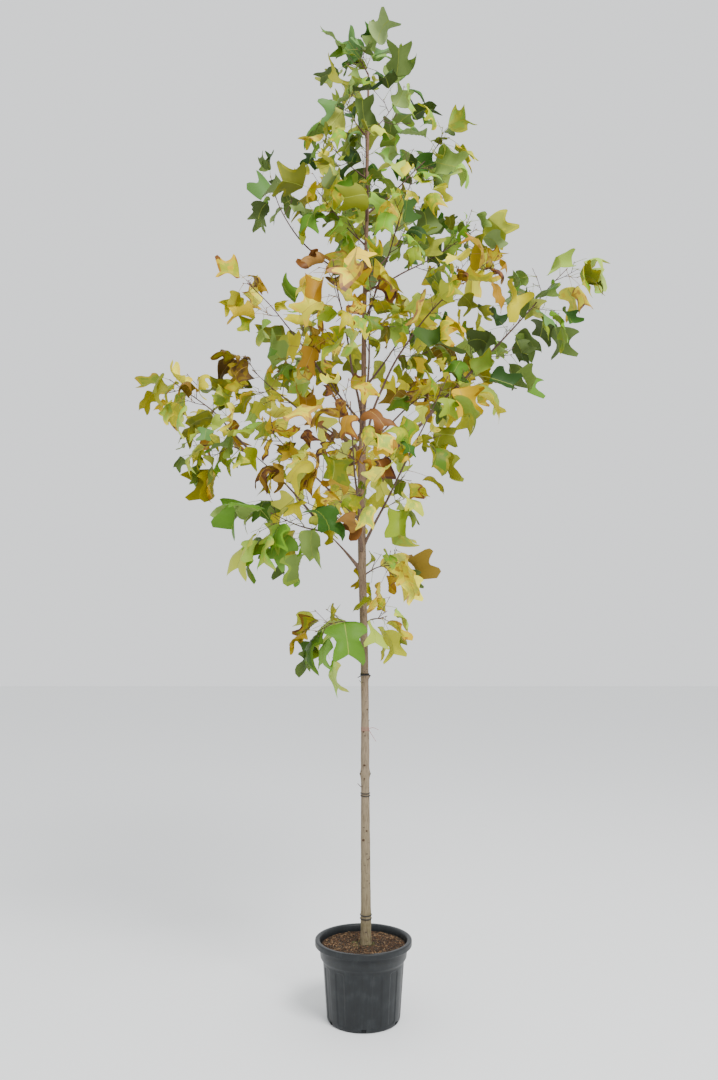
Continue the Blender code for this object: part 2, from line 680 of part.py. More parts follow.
def make_pot(collection):
    """The pot: a thin tapering wall with a shoulder, a plain band and a rolled lip."""
    outside = pot_wall_outside()
    inside = [(radius - POT_WALL, height) for radius, height in outside[2:]]
    floor_radius = POT_FOOT_RADIUS - POT_WALL
    lip = [
        (POT_BAND_RADIUS - POT_WALL, POT_HEIGHT - LIP_ROUND),
        (POT_BAND_RADIUS + LIP_ROUND, POT_HEIGHT),
        (POT_RIM_RADIUS - LIP_ROUND, POT_HEIGHT),
        (POT_RIM_RADIUS, POT_HEIGHT - LIP_ROUND),
        (POT_RIM_RADIUS, POT_HEIGHT - LIP_DEPTH + LIP_ROUND),
        (POT_RIM_RADIUS - LIP_ROUND, POT_HEIGHT - LIP_DEPTH),
    ]
    outline = [(0.0, POT_FLOOR), (floor_radius, POT_FLOOR + FOOT_CHAMFER)] + inside[:-1]
    outline += lip + outside[::-1] + [(0.0, 0.0)]
    plastic = make_material("moulded_polypropylene", "33373B", 0.55)
    return turned_object("pot", outline, POT_SIDES, collection, plastic)


def make_soil(collection):
    """The bark soil that fills the pot to a finger's width under its lip."""
    inside = [(radius - POT_WALL - SOIL_SLACK, height) for radius, height in pot_wall_outside()[2:]]
    wall_top = inside[-2][0] + 0.3 * (inside[-1][0] - inside[-2][0])
    outline = [(0.0, SOIL_TOP), (SOIL_FLAT_RADIUS, SOIL_TOP), (wall_top, SOIL_TOP - SOIL_FALL)]
    outline += inside[-2::-1]
    foot_radius = POT_FOOT_RADIUS - POT_WALL - SOIL_SLACK
    outline += [(foot_radius, POT_FLOOR + FOOT_CHAMFER + GAP), (0.0, POT_FLOOR + GAP)]
    return turned_object("soil", outline, POT_SIDES, collection, make_material("bark_soil", "5A3A26", 0.95))


def make_ties(collection):
    """Black bands wound round the trunk, a gap clear of its bark."""
    rubber = make_material("rubber_band", "26262A", 0.6)
    for name, height, turns in TIES:
        points = []
        for step in range(turns * TIE_POINTS + 1):
            share = step / (turns * TIE_POINTS)
            level = height + TIE_PITCH * turns * share
            turn = math.tau * share * turns + math.pi / 2.0
            radius = mix(TRUNK_RADII, level) + GAP + TIE_THICKNESS / 2.0
            radius /= math.cos(math.pi / TIE_POINTS)
            points.append(trunk_centre(level) + Vector((math.cos(turn), math.sin(turn), 0.0)) * radius)
        mesh = tube_mesh(points, [TIE_THICKNESS / 2.0] * len(points), TIE_SIDES)
        add_object(name, mesh, collection, rubber)


def make_mass(limb, stem, growth, carriers, collection, scrap, material):
    """Fuse a stem, its twigs, their petioles and their blades into one solid."""
    twigs, leaves = growth
    mass = add_object("leaves_" + limb.name, tube_mesh(*stem, STEM_SIDES), collection, material)
    seat(mass, carriers, scrap)
    bare_twigs = list(twigs)
    for leaf in leaves:
        twig = next((twig for twig in bare_twigs if (twig.points[-1] - leaf.root).length < WELD), None)
        if twig:
            bare_twigs.remove(twig)
            add_object("end_leaf", leaf_mesh(leaf, twig.points, twig.radii), scrap)
        else:
            add_object("leaf", leaf_mesh(leaf, [leaf.root], [PETIOLE_RADIUS]), scrap)
    for twig in bare_twigs:
        add_object("twig", tube_mesh(twig.points, twig.radii, TWIG_SIDES), scrap)
    fuse(mass, scrap)
    for obj in list(scrap.objects):
        remove_object(obj)
    mass.data.materials.clear()
    mass.data.materials.append(material)
    mass.data.name = mass.name


def main():
    for obj in list(bpy.data.objects):
        bpy.data.objects.remove(obj)
    tree = bpy.data.collections.new("tulip_tree")
    scrap = bpy.data.collections.new("scrap")
    for collection in (tree, scrap):
        bpy.context.scene.collection.children.link(collection)
    trunk, boughs, stems, masses = plan_tree()
    make_pot(tree)
    make_soil(tree)
    make_ties(tree)
    bark = make_material("bark", "8C7B66", 0.85)
    young_bark = make_material("young_bark", "6A5347", 0.8)
    foliage = make_material("autumn_leaves", "8FA03C", 0.6)
    add_object("trunk", tube_mesh(*trunk, TRUNK_SIDES), tree, bark).data.shade_smooth()

    tubes = {"trunk": (*trunk, TRUNK_SIDES)}
    for limb in LIMBS:
        carriers = [tubes["trunk"]] if limb.carrier in ("trunk", "tip") else [tubes[limb.carrier]]
        earlier = [other.name for other in LIMBS[:LIMBS.index(limb)] if other.carrier == limb.carrier]
        if limb.carrier != "trunk":
            carriers += [tubes[name] for name in earlier]
        if limb.name in boughs:
            tubes[limb.name] = (*boughs[limb.name], BOUGH_SIDES)
            bough = add_object("bough_" + limb.name, tube_mesh(*tubes[limb.name]), tree, young_bark)
            seat(bough, carriers, scrap)
            bough.data.materials.append(young_bark)
            carriers = []
        if limb.name in stems:
            tubes.setdefault(limb.name, (*stems[limb.name], STEM_SIDES))
            make_mass(limb, stems[limb.name], masses[limb.name], carriers, tree, scrap, foliage)
    bpy.data.collections.remove(scrap)


if __name__ == "__main__":
    main()
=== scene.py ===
"""The looks of a young tulip tree in its nursery pot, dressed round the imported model.

Metres, +Z up.  The pot, the soil, the trunk and the ties are remade with their moulded, crumbled
and barky surfaces.  Boughs, twigs and leaves grow again by the model's own rule, from the same
limbs, and are carried on to finer twigs, thin blades, long stalks and winter buds.
"""

import math
import random
from collections import namedtuple

import bmesh
import bpy
import numpy as np
from mathutils import Matrix, Vector, noise


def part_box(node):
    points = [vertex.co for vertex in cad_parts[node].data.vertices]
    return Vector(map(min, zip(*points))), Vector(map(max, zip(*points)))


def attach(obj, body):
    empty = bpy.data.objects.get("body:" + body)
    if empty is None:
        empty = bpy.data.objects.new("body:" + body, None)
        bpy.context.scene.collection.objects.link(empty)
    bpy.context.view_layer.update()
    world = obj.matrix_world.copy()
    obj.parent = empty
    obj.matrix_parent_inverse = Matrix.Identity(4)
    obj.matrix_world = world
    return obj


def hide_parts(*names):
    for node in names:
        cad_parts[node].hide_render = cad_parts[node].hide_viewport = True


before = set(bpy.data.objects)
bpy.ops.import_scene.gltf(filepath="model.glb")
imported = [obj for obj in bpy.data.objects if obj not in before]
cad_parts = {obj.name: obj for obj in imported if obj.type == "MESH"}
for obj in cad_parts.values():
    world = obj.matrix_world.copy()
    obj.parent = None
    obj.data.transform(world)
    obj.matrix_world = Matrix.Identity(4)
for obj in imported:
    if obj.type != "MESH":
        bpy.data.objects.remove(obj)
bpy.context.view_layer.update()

UP = Vector((0.0, 0.0, 1.0))
FRONT = Vector((0.0, -1.0, 0.0))
MM = 0.001
GAP = 0.3 * MM
GOLDEN_ANGLE = math.radians(137.5)

# ---------------------------------------------------------------- sizes from the model
POT_HEIGHT = Vector(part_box("pot")[1]).z
POT_RIM_RADIUS = 0.2165
POT_BAND_RADIUS = 0.198
POT_SHOULDER_RADIUS = 0.181
POT_FOOT_RADIUS = 0.1625
POT_BASE_RADIUS = 0.152
POT_WALL = 0.003
LIP_DEPTH = 0.026
LIP_ROUND = 0.005
BAND_BOTTOM = 0.262
SHOULDER_BOTTOM = 0.246
FOOT_CHAMFER = 0.012
SOIL_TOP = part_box("soil")[1][2]
TRUNK_FOOT, TRUNK_TOP = (corner[2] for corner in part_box("trunk"))

# the trunk: height, then how far its middle strays to +X; height, then radius
TRUNK_LEAN = ((0.30, 0.011), (1.30, 0.008), (2.33, -0.008), (3.10, 0.004), (3.90, 0.021), (4.56, 0.028))
TRUNK_RADII = (
    (0.30, 0.0280), (0.325, 0.0252), (0.37, 0.0235), (0.60, 0.0220), (1.00, 0.0198), (1.45, 0.0182),
    (1.90, 0.0180), (2.20, 0.0192), (2.45, 0.0186), (2.62, 0.0160), (2.85, 0.0132), (3.20, 0.0112),
    (3.60, 0.0098), (4.10, 0.0084), (4.40, 0.0062), (4.56, 0.0042),
)

# ---------------------------------------------------------------- limbs
# The model's own table, with one more column.  turned: how far a mass has gone from green (0)
# by yellow and gold to rust (1).
Limb = namedtuple(
    "Limb", "name carrier foot side reach rise bow thick bare twigs spread hang leaf turned"
)
LIMBS = (
    # left side of the crown, from the lowest up
    Limb("left_skirt", "trunk", 1.72, 190, 0.22, -0.02, -0.3, 0.0032, 0.00, 4, 0.10, 0.75, 0.150, 0.28),
    Limb("left_long_foot", "trunk", 1.98, 183, 0.17, 0.19, 0.0, 0.0085, 1.00, 0, 0.0, 0.0, 0.0, 0.0),
    Limb("left_hanging", "left_long_foot", 0, 192, 0.26, 0.08, 0.1, 0.0040, 0.00, 6, 0.12, 0.80, 0.170, 0.24),
    Limb("left_long", "left_long_foot", 0, 183, 0.36, 0.38, -0.05, 0.0070, 1.00, 0, 0.0, 0.0, 0.0, 0.0),
    Limb("left_middle", "left_long", 0, 200, 0.24, 0.02, -0.15, 0.0036, 0.00, 5, 0.13, 0.75, 0.125, 0.42),
    Limb("left_outer", "left_long", 0, 181, 0.40, 0.36, -0.08, 0.0050, 0.00, 6, 0.14, 0.50, 0.125, 0.48),
    Limb("left_inner", "trunk", 2.18, 192, 0.30, 0.14, 0.0, 0.0034, 0.00, 5, 0.12, 0.70, 0.125, 0.48),
    Limb("left_gold", "trunk", 2.22, 208, 0.48, 0.40, 0.03, 0.0065, 0.40, 6, 0.15, 0.65, 0.125, 0.62),
    Limb("left_back", "trunk", 2.57, 163, 0.58, 0.46, 0.06, 0.0060, 0.42, 5, 0.17, 0.55, 0.130, 0.54),
    Limb("left_upright", "trunk", 2.51, 195, 0.56, 0.84, -0.13, 0.0070, 0.45, 4, 0.16, 0.45, 0.120, 0.50),
    Limb("left_high", "trunk", 3.43, 172, 0.49, 0.60, 0.26, 0.0055, 0.62, 2, 0.12, 0.45, 0.130, 0.16),
    Limb("left_spur", "trunk", 3.62, 186, 0.26, 0.30, 0.05, 0.0035, 0.00, 4, 0.12, 0.55, 0.125, 0.32),
    Limb("left_top", "trunk", 3.98, 176, 0.22, 0.22, 0.05, 0.0032, 0.00, 4, 0.12, 0.50, 0.120, 0.16),
    Limb("left_tip", "trunk", 4.20, 188, 0.12, 0.22, 0.10, 0.0028, 0.00, 4, 0.10, 0.50, 0.120, 0.16),
    # right side of the crown, from the lowest up
    Limb("right_skirt", "trunk", 1.73, 340, 0.09, 0.03, -0.3, 0.0030, 0.00, 3, 0.10, 0.80, 0.120, 0.42),
    Limb("right_low", "trunk", 1.96, 20, 0.16, 0.06, -0.2, 0.0034, 0.00, 5, 0.14, 0.75, 0.125, 0.34),
    Limb("right_front", "trunk", 2.09, 328, 0.46, 0.76, 0.0, 0.0065, 0.16, 6, 0.14, 0.70, 0.125, 0.40),
    Limb("right_long", "trunk", 2.42, 5, 1.05, 1.12, 0.02, 0.0095, 0.34, 9, 0.17, 0.60, 0.140, 0.18),
    Limb("right_fork", "trunk", 2.58, 32, 0.62, 0.56, 0.0, 0.0055, 0.40, 5, 0.15, 0.60, 0.130, 0.55),
    Limb("right_upright", "trunk", 2.50, 343, 0.62, 0.94, -0.24, 0.0075, 0.45, 6, 0.15, 0.50, 0.120, 0.54),
    Limb("leader_second", "trunk", 2.62, 282, 0.15, 0.80, 0.18, 0.0070, 0.42, 5, 0.14, 0.55, 0.125, 0.52),
    Limb("right_high", "trunk", 3.38, 10, 0.58, 0.38, 0.05, 0.0050, 0.38, 5, 0.13, 0.50, 0.125, 0.28),
    Limb("right_back_high", "trunk", 3.46, 42, 0.36, 0.54, 0.15, 0.0045, 0.45, 4, 0.12, 0.45, 0.125, 0.20),
    Limb("right_top", "trunk", 3.79, 14, 0.40, 0.46, 0.05, 0.0040, 0.40, 4, 0.12, 0.45, 0.130, 0.16),
    Limb("right_tip", "trunk", 4.22, 8, 0.16, 0.22, 0.05, 0.0028, 0.00, 4, 0.10, 0.45, 0.125, 0.14),
    # limbs towards the front and the back
    Limb("front_low", "trunk", 2.07, 266, 0.70, 0.52, 0.05, 0.0080, 0.42, 5, 0.18, 0.60, 0.110, 0.60),
    Limb("front_middle", "trunk", 2.72, 256, 0.54, 0.56, 0.03, 0.0065, 0.42, 4, 0.16, 0.55, 0.110, 0.57),
    Limb("front_high", "trunk", 3.22, 298, 0.46, 0.52, 0.05, 0.0050, 0.42, 4, 0.14, 0.50, 0.110, 0.34),
    Limb("front_top", "trunk", 3.74, 268, 0.28, 0.34, 0.05, 0.0034, 0.00, 4, 0.12, 0.50, 0.110, 0.20),
    Limb("back_low", "trunk", 2.20, 92, 0.80, 0.56, 0.05, 0.0085, 0.42, 5, 0.18, 0.60, 0.135, 0.52),
    Limb("back_left", "trunk", 2.70, 122, 0.62, 0.64, 0.03, 0.0065, 0.42, 4, 0.16, 0.55, 0.130, 0.48),
    Limb("back_right", "trunk", 2.88, 60, 0.60, 0.60, 0.03, 0.0060, 0.42, 4, 0.16, 0.50, 0.130, 0.36),
    Limb("back_top", "trunk", 3.66, 98, 0.36, 0.46, 0.05, 0.0036, 0.00, 4, 0.13, 0.50, 0.125, 0.20),
    Limb("top", "tip", 0, 180, 0.04, 0.08, 0.0, 0.0036, 0.00, 5, 0.10, 0.15, 0.120, 0.19),
)
TRUNK_STEP = 0.24
LIMB_STEP = 0.12
LIMB_WANDER = 0.004
LIMB_TIP_RADIUS = 0.0018
COLLAR, COLLAR_LENGTH = 0.35, 0.03
SUNK_FOOT = 0.6                  # radii by which a limb starts inside the tip that carries it

TWIG_RADIUS = 0.0021
TWIG_TIP_RADIUS = 0.0013
TWIG_OPENING = math.radians(52)
TWIG_LIFT = 0.30
LEAVES_ON_TWIG = 2
LEAF_SPACING = 0.05
LEAF_TRIALS = 5
# what each leaf draws by chance: ranges, and the spread of its facing
LEAF_SIZES = (0.62, 1.20)        # shares of its mass's leaf length
STALK_LEANS = (0.4, 0.9)         # how far its stalk leans on along the twig
STALK_LIFT = 0.25
HANG_STRAY = (-0.35, 0.35)
STALK_SIZES = (0.7, 1.2)
FACING_UP, FACING_OUT = (0.2, 1.0), (0.3, 1.0)
FACING_SPREAD = 34.0             # degrees
LEAF_FOLDS, LEAF_CURLS = (0.05, 0.55), (0.0, 0.6)
TWIG_SIZES = (0.7, 1.15)         # shares of its mass's spread
BLADE_SCALE = 1.20               # the model's few leaves are larger than life ...
FINE_SCALE = 0.96                # ... and these are this much smaller
PETIOLE_LENGTH = 0.62
PETIOLE_RADIUS = 0.0011
BLADE_OUTLINE = (
    (0.31, 0.53), (0.46, 1.00), (0.00, 0.84), (-0.46, 1.00),
    (-0.31, 0.53), (-0.56, 0.20), (0.00, 0.00), (0.56, 0.20),
)
BLADE_MIDDLE = 0.50
CELL = 0.010
REACH_MARGIN = 0.004             # how far a finer leaf may pass its mass's own solid
TWIGLET_SHARES = (0.42, 0.74)    # where finer twigs leave a twig
TWIGLET_LENGTH = 0.062
TWIGLET_SIZES = (0.6, 1.4)
TWIGLET_RADIUS = 0.0012
SMALL_LEAF = 0.80                # size of the finer twigs' leaves
SPRAY_WAVES = 7.0                # sprays that turn alike, waves a metre
SPRAY_SHARE, LUCK_SHARE = 0.35, 0.15

Leaf = namedtuple("Leaf", "root base across along normal length fold curl stage rng")
Twig = namedtuple("Twig", "points radii turn")


# ---------------------------------------------------------------- small helpers
def mix(pairs, at):
    """Read a table of (position, value) pairs at a position, smoothly between them."""
    if at <= pairs[0][0]:
        return pairs[0][1]
    for (low, first), (high, second) in zip(pairs, pairs[1:]):
        if at <= high:
            share = (at - low) / (high - low)
            share = share * share * (3.0 - 2.0 * share)
            return first + (second - first) * share
    return pairs[-1][1]


def trunk_centre(height):
    return Vector((mix(TRUNK_LEAN, height), 0.0, height))


def compass(turn):
    """The level direction at a turn from +X."""
    return Vector((math.cos(turn), math.sin(turn), 0.0))


def outward_at(tip):
    """The level direction from the trunk to a mass's tip, or the front for one that stands over it."""
    outward = tip - trunk_centre(tip.z)
    outward.z = 0.0
    return outward.normalized() if outward.length > 0.05 else FRONT


def path_length(points):
    return sum((b - a).length for a, b in zip(points, points[1:]))


def along_path(points, share):
    """The place and the direction at a share of a path's length."""
    left = max(share, 0.0) * path_length(points)
    for a, b in zip(points, points[1:]):
        run = (b - a).length
        if left <= run or b is points[-1]:
            return a.lerp(b, min(left / run, 1.0)), (b - a).normalized()
        left -= run


def turned_away(direction, turn):
    """A unit vector square to a direction, turned about it from the most upright one."""
    upright = UP - direction * direction.dot(UP)
    if upright.length < 0.05:
        upright = Vector((1.0, 0.0, 0.0)) - direction * direction.x
    return Matrix.Rotation(turn, 3, direction) @ upright.normalized()


# ---------------------------------------------------------------- the rule of growth
def limb_path(limb, start):
    """The limb's arc from its start to its tip, straying a little from the true curve."""
    rng = random.Random(limb.name)
    out = compass(math.radians(limb.side))
    chord = out * limb.reach + UP * limb.rise
    sag = (out * limb.rise - UP * limb.reach) * limb.bow
    bend = start + chord * 0.5 + sag
    steps = max(2, round(chord.length / LIMB_STEP))
    points = []
    for step in range(steps + 1):
        t = step / steps
        point = start.lerp(bend, t).lerp(bend.lerp(start + chord, t), t)
        stray = Vector([rng.uniform(-1.0, 1.0) for _ in range(3)]) * LIMB_WANDER
        points.append(point + stray if 0 < step < steps else point)
    return points


def limb_radii(limb, points):
    """Tapering radii, wider in the collar at the foot."""
    whole = path_length(points)
    radii = []
    for index in range(len(points)):
        gone = path_length(points[: index + 1])
        taper = limb.thick + (LIMB_TIP_RADIUS - limb.thick) * gone / whole
        radii.append(taper * (1.0 + COLLAR * math.exp(-gone / COLLAR_LENGTH)))
    return radii


def split_path(points, radii, share):
    """Cut an arc in two at a share of its points' run."""
    cut, _ = along_path(points, share)
    gone = 0.0
    for index, (a, b) in enumerate(zip(points, points[1:])):
        gone += (b - a).length
        if gone >= share * path_length(points):
            break
    part = (cut - points[index]).length / (points[index + 1] - points[index]).length
    radius = radii[index] + (radii[index + 1] - radii[index]) * part
    first = (points[: index + 1] + [cut], radii[: index + 1] + [radius])
    return first, ([cut] + points[index + 1:], [radius] + radii[index + 1:])


class Room:
    """Cells of space, each held by one limb or one mass."""

    def __init__(self):
        self.holder = {}

    @staticmethod
    def cell(point):
        return math.floor(point.x / CELL), math.floor(point.y / CELL), math.floor(point.z / CELL)

    def claim(self, points, name):
        for point in points:
            self.holder.setdefault(self.cell(point), name)

    def is_free(self, points, allowed):
        """True if every cell at the points is empty or held by one of the allowed."""
        for cell in {self.cell(point) for point in points}:
            holder = self.holder.get(cell)
            if holder is not None and holder not in allowed:
                return False
        return True


def tube_samples(points, radii):
    """Points all over a tube's surface, half a cell apart."""
    samples = []
    for a, b, first, second in zip(points, points[1:], radii, radii[1:]):
        direction = (b - a).normalized()
        rings = max(1, math.ceil((b - a).length / (CELL * 0.5)))
        for ring in range(rings + 1):
            centre = a.lerp(b, ring / rings)
            radius = first + (second - first) * ring / rings
            sides = max(4, math.ceil(math.tau * radius / (CELL * 0.5)))
            samples += [
                centre + turned_away(direction, math.tau * side / sides) * radius for side in range(sides)
            ]
    return samples


def blade_point(leaf, across, along, height=0.0):
    """A point of a leaf's blade, folded up along its midrib and curled down at its ends."""
    height += leaf.fold * abs(across) - leaf.curl * (along - BLADE_MIDDLE) ** 2
    return leaf.base + (leaf.across * across + leaf.along * along + leaf.normal * height) * leaf.length


def blade_samples(leaf):
    """Points all over a leaf's blade, about half a cell apart."""
    rings = max(2, math.ceil(0.6 * leaf.length / (CELL * 0.5)))
    samples = []
    for (x1, y1), (x2, y2) in zip(BLADE_OUTLINE, BLADE_OUTLINE[1:] + BLADE_OUTLINE[:1]):
        for ring in range(rings + 1):
            out = ring / rings
            for step in range(ring + 1):
                turn = step / max(ring, 1)
                x = (x1 + (x2 - x1) * turn) * out
                y = BLADE_MIDDLE + (y1 + (y2 - y1) * turn - BLADE_MIDDLE) * out
                samples.append(blade_point(leaf, x, y))
    return samples


def petiole_samples(leaf):
    """Points down the outer part of a leaf's petiole."""
    steps = math.ceil((leaf.base - leaf.root).length / (CELL * 0.5))
    return [leaf.root.lerp(leaf.base, step / steps) for step in range(steps // 3, steps + 1)]


def first_turn(limb):
    """Where round its stem a mass's first twig stands."""
    return random.Random(limb.name + " turn").uniform(0.0, math.tau)


def grow_leaf(limb, mark, root, direction, turn, outward):
    """One leaf at a node: its petiole leans out, and its blade turns down by the limb's hang."""
    rng = random.Random(f"{limb.name} leaf {mark}")
    length = limb.leaf * BLADE_SCALE * rng.uniform(*LEAF_SIZES)
    lean = direction * rng.uniform(*STALK_LEANS) + turned_away(direction, turn) + UP * STALK_LIFT
    lean.normalize()
    hang = min(1.0, max(0.0, limb.hang + rng.uniform(*HANG_STRAY)))
    petiole = (lean - UP * hang * 0.9).normalized()
    base = root + petiole * length * PETIOLE_LENGTH * rng.uniform(*STALK_SIZES)
    along = (petiole * (1.0 - hang * 0.7) - UP * hang).normalized()
    facing = UP * rng.uniform(*FACING_UP) + outward * rng.uniform(*FACING_OUT)
    facing = (facing - along * facing.dot(along)).normalized()
    normal = Matrix.Rotation(math.radians(rng.gauss(0.0, FACING_SPREAD)), 3, along) @ facing
    fold = rng.uniform(*LEAF_FOLDS)
    curl = rng.uniform(*LEAF_CURLS)
    return Leaf(root, base, along.cross(normal), along, normal, length, fold, curl, 0, rng)


def grow_twig(limb, number, stem):
    """One side twig of a mass, opening from the stem and turning up a little."""
    rng = random.Random(f"{limb.name} twig {number}")
    share = (number + rng.uniform(0.25, 0.75)) / limb.twigs
    root, direction = along_path(stem, share)
    turn = first_turn(limb) + number * GOLDEN_ANGLE
    length = limb.spread * (1.0 - 0.4 * share) * rng.uniform(*TWIG_SIZES)
    side = turned_away(direction, turn)
    first = (direction * math.cos(TWIG_OPENING) + side * math.sin(TWIG_OPENING)).normalized()
    middle = root + first * length * 0.5
    tip = middle + (first + UP * TWIG_LIFT * (1.0 - limb.hang)).normalized() * length * 0.5
    radii = [TWIG_RADIUS, (TWIG_RADIUS + TWIG_TIP_RADIUS) / 2.0, TWIG_TIP_RADIUS]
    return Twig([root, middle, tip], radii, turn)


def stage_of(limb, leaf):
    """How far one leaf has turned: its mass, the spray it is in, and its own luck."""
    spray = noise.noise(leaf.root * SPRAY_WAVES + Vector((first_turn(limb) * 5.0, 0.0, 0.0)))
    turned = limb.turned + SPRAY_SHARE * spray + leaf.rng.gauss(0.0, LUCK_SHARE)
    return max(0, min(STAGES - 1, round(turned * (STAGES - 1))))


def grow_shoot(limb, mark, nodes, turn, outward, fits):
    """A leaf at each node of a twig, turned on from the last: the first of a few tries that fits."""
    leaves = []
    for place, (node, heading) in enumerate(nodes):
        for trial in range(LEAF_TRIALS):
            round_twig = turn + (place + trial) * GOLDEN_ANGLE
            leaf = grow_leaf(limb, mark.format(place, trial), node, heading, round_twig, outward)
            if fits(leaf):
                leaves.append(leaf)
                break
    return leaves


def grow_mass(limb, stem, room):
    """Twigs and leaves of one mass, as in the model.  What would touch its neighbours is left out."""
    twigs, leaves = [], []
    own_wood, own_blades = {limb.name}, {limb.name + " blades"}

    def fits(leaf):
        blade, petiole = blade_samples(leaf), petiole_samples(leaf)
        free = room.is_free(blade, own_wood) and room.is_free(petiole, own_wood | own_blades)
        if free:
            room.claim(petiole, limb.name)
            room.claim(blade, limb.name + " blades")
        return free

    for number in range(limb.twigs):
        twig = grow_twig(limb, number, stem)
        samples = tube_samples(twig.points, twig.radii)
        if room.is_free(samples, own_wood):
            room.claim(samples, limb.name)
            twigs.append(twig)
    shoots = [(limb.twigs, stem, first_turn(limb) + limb.twigs * GOLDEN_ANGLE)]
    shoots += [(number, twig.points, twig.turn) for number, twig in enumerate(twigs)]
    for number, points, turn in shoots:
        shares = [1.0 - place * LEAF_SPACING / path_length(points) for place in range(LEAVES_ON_TWIG)]
        nodes = [along_path(points, share) for share in shares]
        leaves += grow_shoot(limb, f"{number} {{}} {{}}", nodes, turn, outward_at(stem[-1]), fits)
    return twigs, leaves


def grow_finer(limb, twigs, stem, room):
    """Finer twigs off a mass's twigs, each with two smaller leaves, inside the mass's own space."""
    finer, leaves = [], []
    low, high = (Vector(corner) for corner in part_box("leaves_" + limb.name))
    margin = Vector((REACH_MARGIN,) * 3)
    low, high = low - margin, high + margin
    small = limb._replace(leaf=limb.leaf * SMALL_LEAF)

    def within(points):
        return all(low[k] <= point[k] <= high[k] for point in points for k in range(3))

    def fits(leaf):
        blade = blade_samples(leaf)
        free = within(blade) and room.is_free(blade, {limb.name})
        if free:
            room.claim(blade, limb.name + " blades")
        return free

    for number, twig in enumerate(twigs):
        for side, share in enumerate(TWIGLET_SHARES):
            rng = random.Random(f"{limb.name} twiglet {number} {side}")
            root, direction = along_path(twig.points, share)
            turn = twig.turn + (side + 1) * GOLDEN_ANGLE + rng.uniform(-0.5, 0.5)
            heading = (direction + turned_away(direction, turn) + UP * 0.2).normalized()
            tip = root + heading * TWIGLET_LENGTH * rng.uniform(*TWIGLET_SIZES)
            radii = [TWIGLET_RADIUS * 1.15, TWIGLET_RADIUS]
            samples = tube_samples([root, tip], radii)
            if within([tip]) and room.is_free(samples, {limb.name, limb.name + " blades"}):
                finer.append(Twig([root, root.lerp(tip, 0.5), tip], [radii[0], radii[0], radii[1]], turn))
                heading = (tip - root).normalized()
                nodes = [(tip.lerp(root, 0.6 * place), heading) for place in range(LEAVES_ON_TWIG)]
                mark = f"{number} {side} {{}} {{}} finer"
                leaves += grow_shoot(small, mark, nodes, turn, outward_at(stem[-1]), fits)
    return finer, leaves


def plan_tree():
    """Every limb's whole path, where its mass begins, and every mass's twigs and leaves."""
    heights = [SOIL_TOP + GAP]
    while heights[-1] + TRUNK_STEP < TRUNK_TOP:
        heights.append(heights[-1] + TRUNK_STEP)
    flare = [height for height, _ in TRUNK_RADII if SOIL_TOP < height < 0.4]
    heights = sorted(heights + flare + [TRUNK_TOP])
    trunk_radii = [mix(TRUNK_RADII, height) for height in heights]
    room = Room()
    room.claim(tube_samples([trunk_centre(height) for height in heights], trunk_radii), "trunk")
    tips, paths, boughs, stems = {}, {}, {}, {}
    for limb in LIMBS:
        if limb.carrier == "trunk":
            start = trunk_centre(limb.foot)
        elif limb.carrier == "tip":
            start = trunk_centre(TRUNK_TOP) + UP * GAP
        else:
            tip, direction, radius = tips[limb.carrier]
            start = tip - direction * radius * SUNK_FOOT
        points = limb_path(limb, start)
        radii = limb_radii(limb, points)
        paths[limb.name] = points, radii
        if limb.bare == 1.0:
            boughs[limb.name] = (points, radii)
            tips[limb.name] = (points[-1], (points[-1] - points[-2]).normalized(), radii[-1])
        elif limb.bare == 0.0:
            stems[limb.name] = (points, radii)
        else:
            boughs[limb.name], stems[limb.name] = split_path(points, radii, limb.bare)
    for name, (points, radii) in boughs.items():
        room.claim(tube_samples(points, radii), "bough_" + name)
    for name, (points, radii) in stems.items():
        room.claim(tube_samples(points, radii), name)
    leafy = [limb for limb in LIMBS if limb.name in stems]
    masses = {limb.name: grow_mass(limb, stems[limb.name][0], room) for limb in leafy}
    for limb in leafy:
        twigs, leaves = masses[limb.name]
        finer, small = grow_finer(limb, twigs, stems[limb.name][0], room)
        masses[limb.name] = twigs + finer, [
            leaf._replace(length=leaf.length * FINE_SCALE, stage=stage_of(limb, leaf))
            for leaf in leaves + small
        ]
    return paths, masses


# ---------------------------------------------------------------- joined meshes
CREASE = math.radians(52)        # sharper edges than this are not shaded smooth
TUBES = {}


class Heap:
    """Many small closed shapes, gathered as arrays and joined into one mesh."""

    def __init__(self):
        self.points, self.faces, self.slots, self.count = [], [], [], 0

    def add(self, points, faces, slots=0):
        self.points.append(points)
        self.faces.append(faces + self.count)
        self.slots.append(np.broadcast_to(slots, len(faces)))
        self.count += len(points)

    def make(self, name, materials, finish, nodes=()):
        """One piece of triangles, with a material for each slot number."""
        mesh = bpy.data.meshes.new(name)
        mesh.from_pydata(np.concatenate(self.points), (), np.concatenate(self.faces), shade_flat=False)
        for paint in materials:
            mesh.materials.append(paint)
        mesh.polygons.foreach_set("material_index", np.concatenate(self.slots).astype(np.int32))
        mesh.set_sharp_from_angle(angle=CREASE)
        add_piece(name, mesh, nodes)


def add_piece(name, mesh, nodes=()):
    """A finished piece: at the origin, riding on the root, standing for the model's own nodes."""
    piece = bpy.data.objects.new(name, mesh)
    bpy.context.scene.collection.objects.link(piece)
    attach(piece, "root")
    if nodes:
        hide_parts(*nodes)


def taken_apart(bm):
    """A bmesh's points and triangles as arrays, with its faces' material numbers.  Frees it."""
    bmesh.ops.triangulate(bm, faces=bm.faces)
    bm.verts.index_update()
    points = np.array([vert.co for vert in bm.verts])
    faces = np.array([[vert.index for vert in face.verts] for face in bm.faces])
    slots = np.array([face.material_index for face in bm.faces])
    bm.free()
    return points, faces, slots


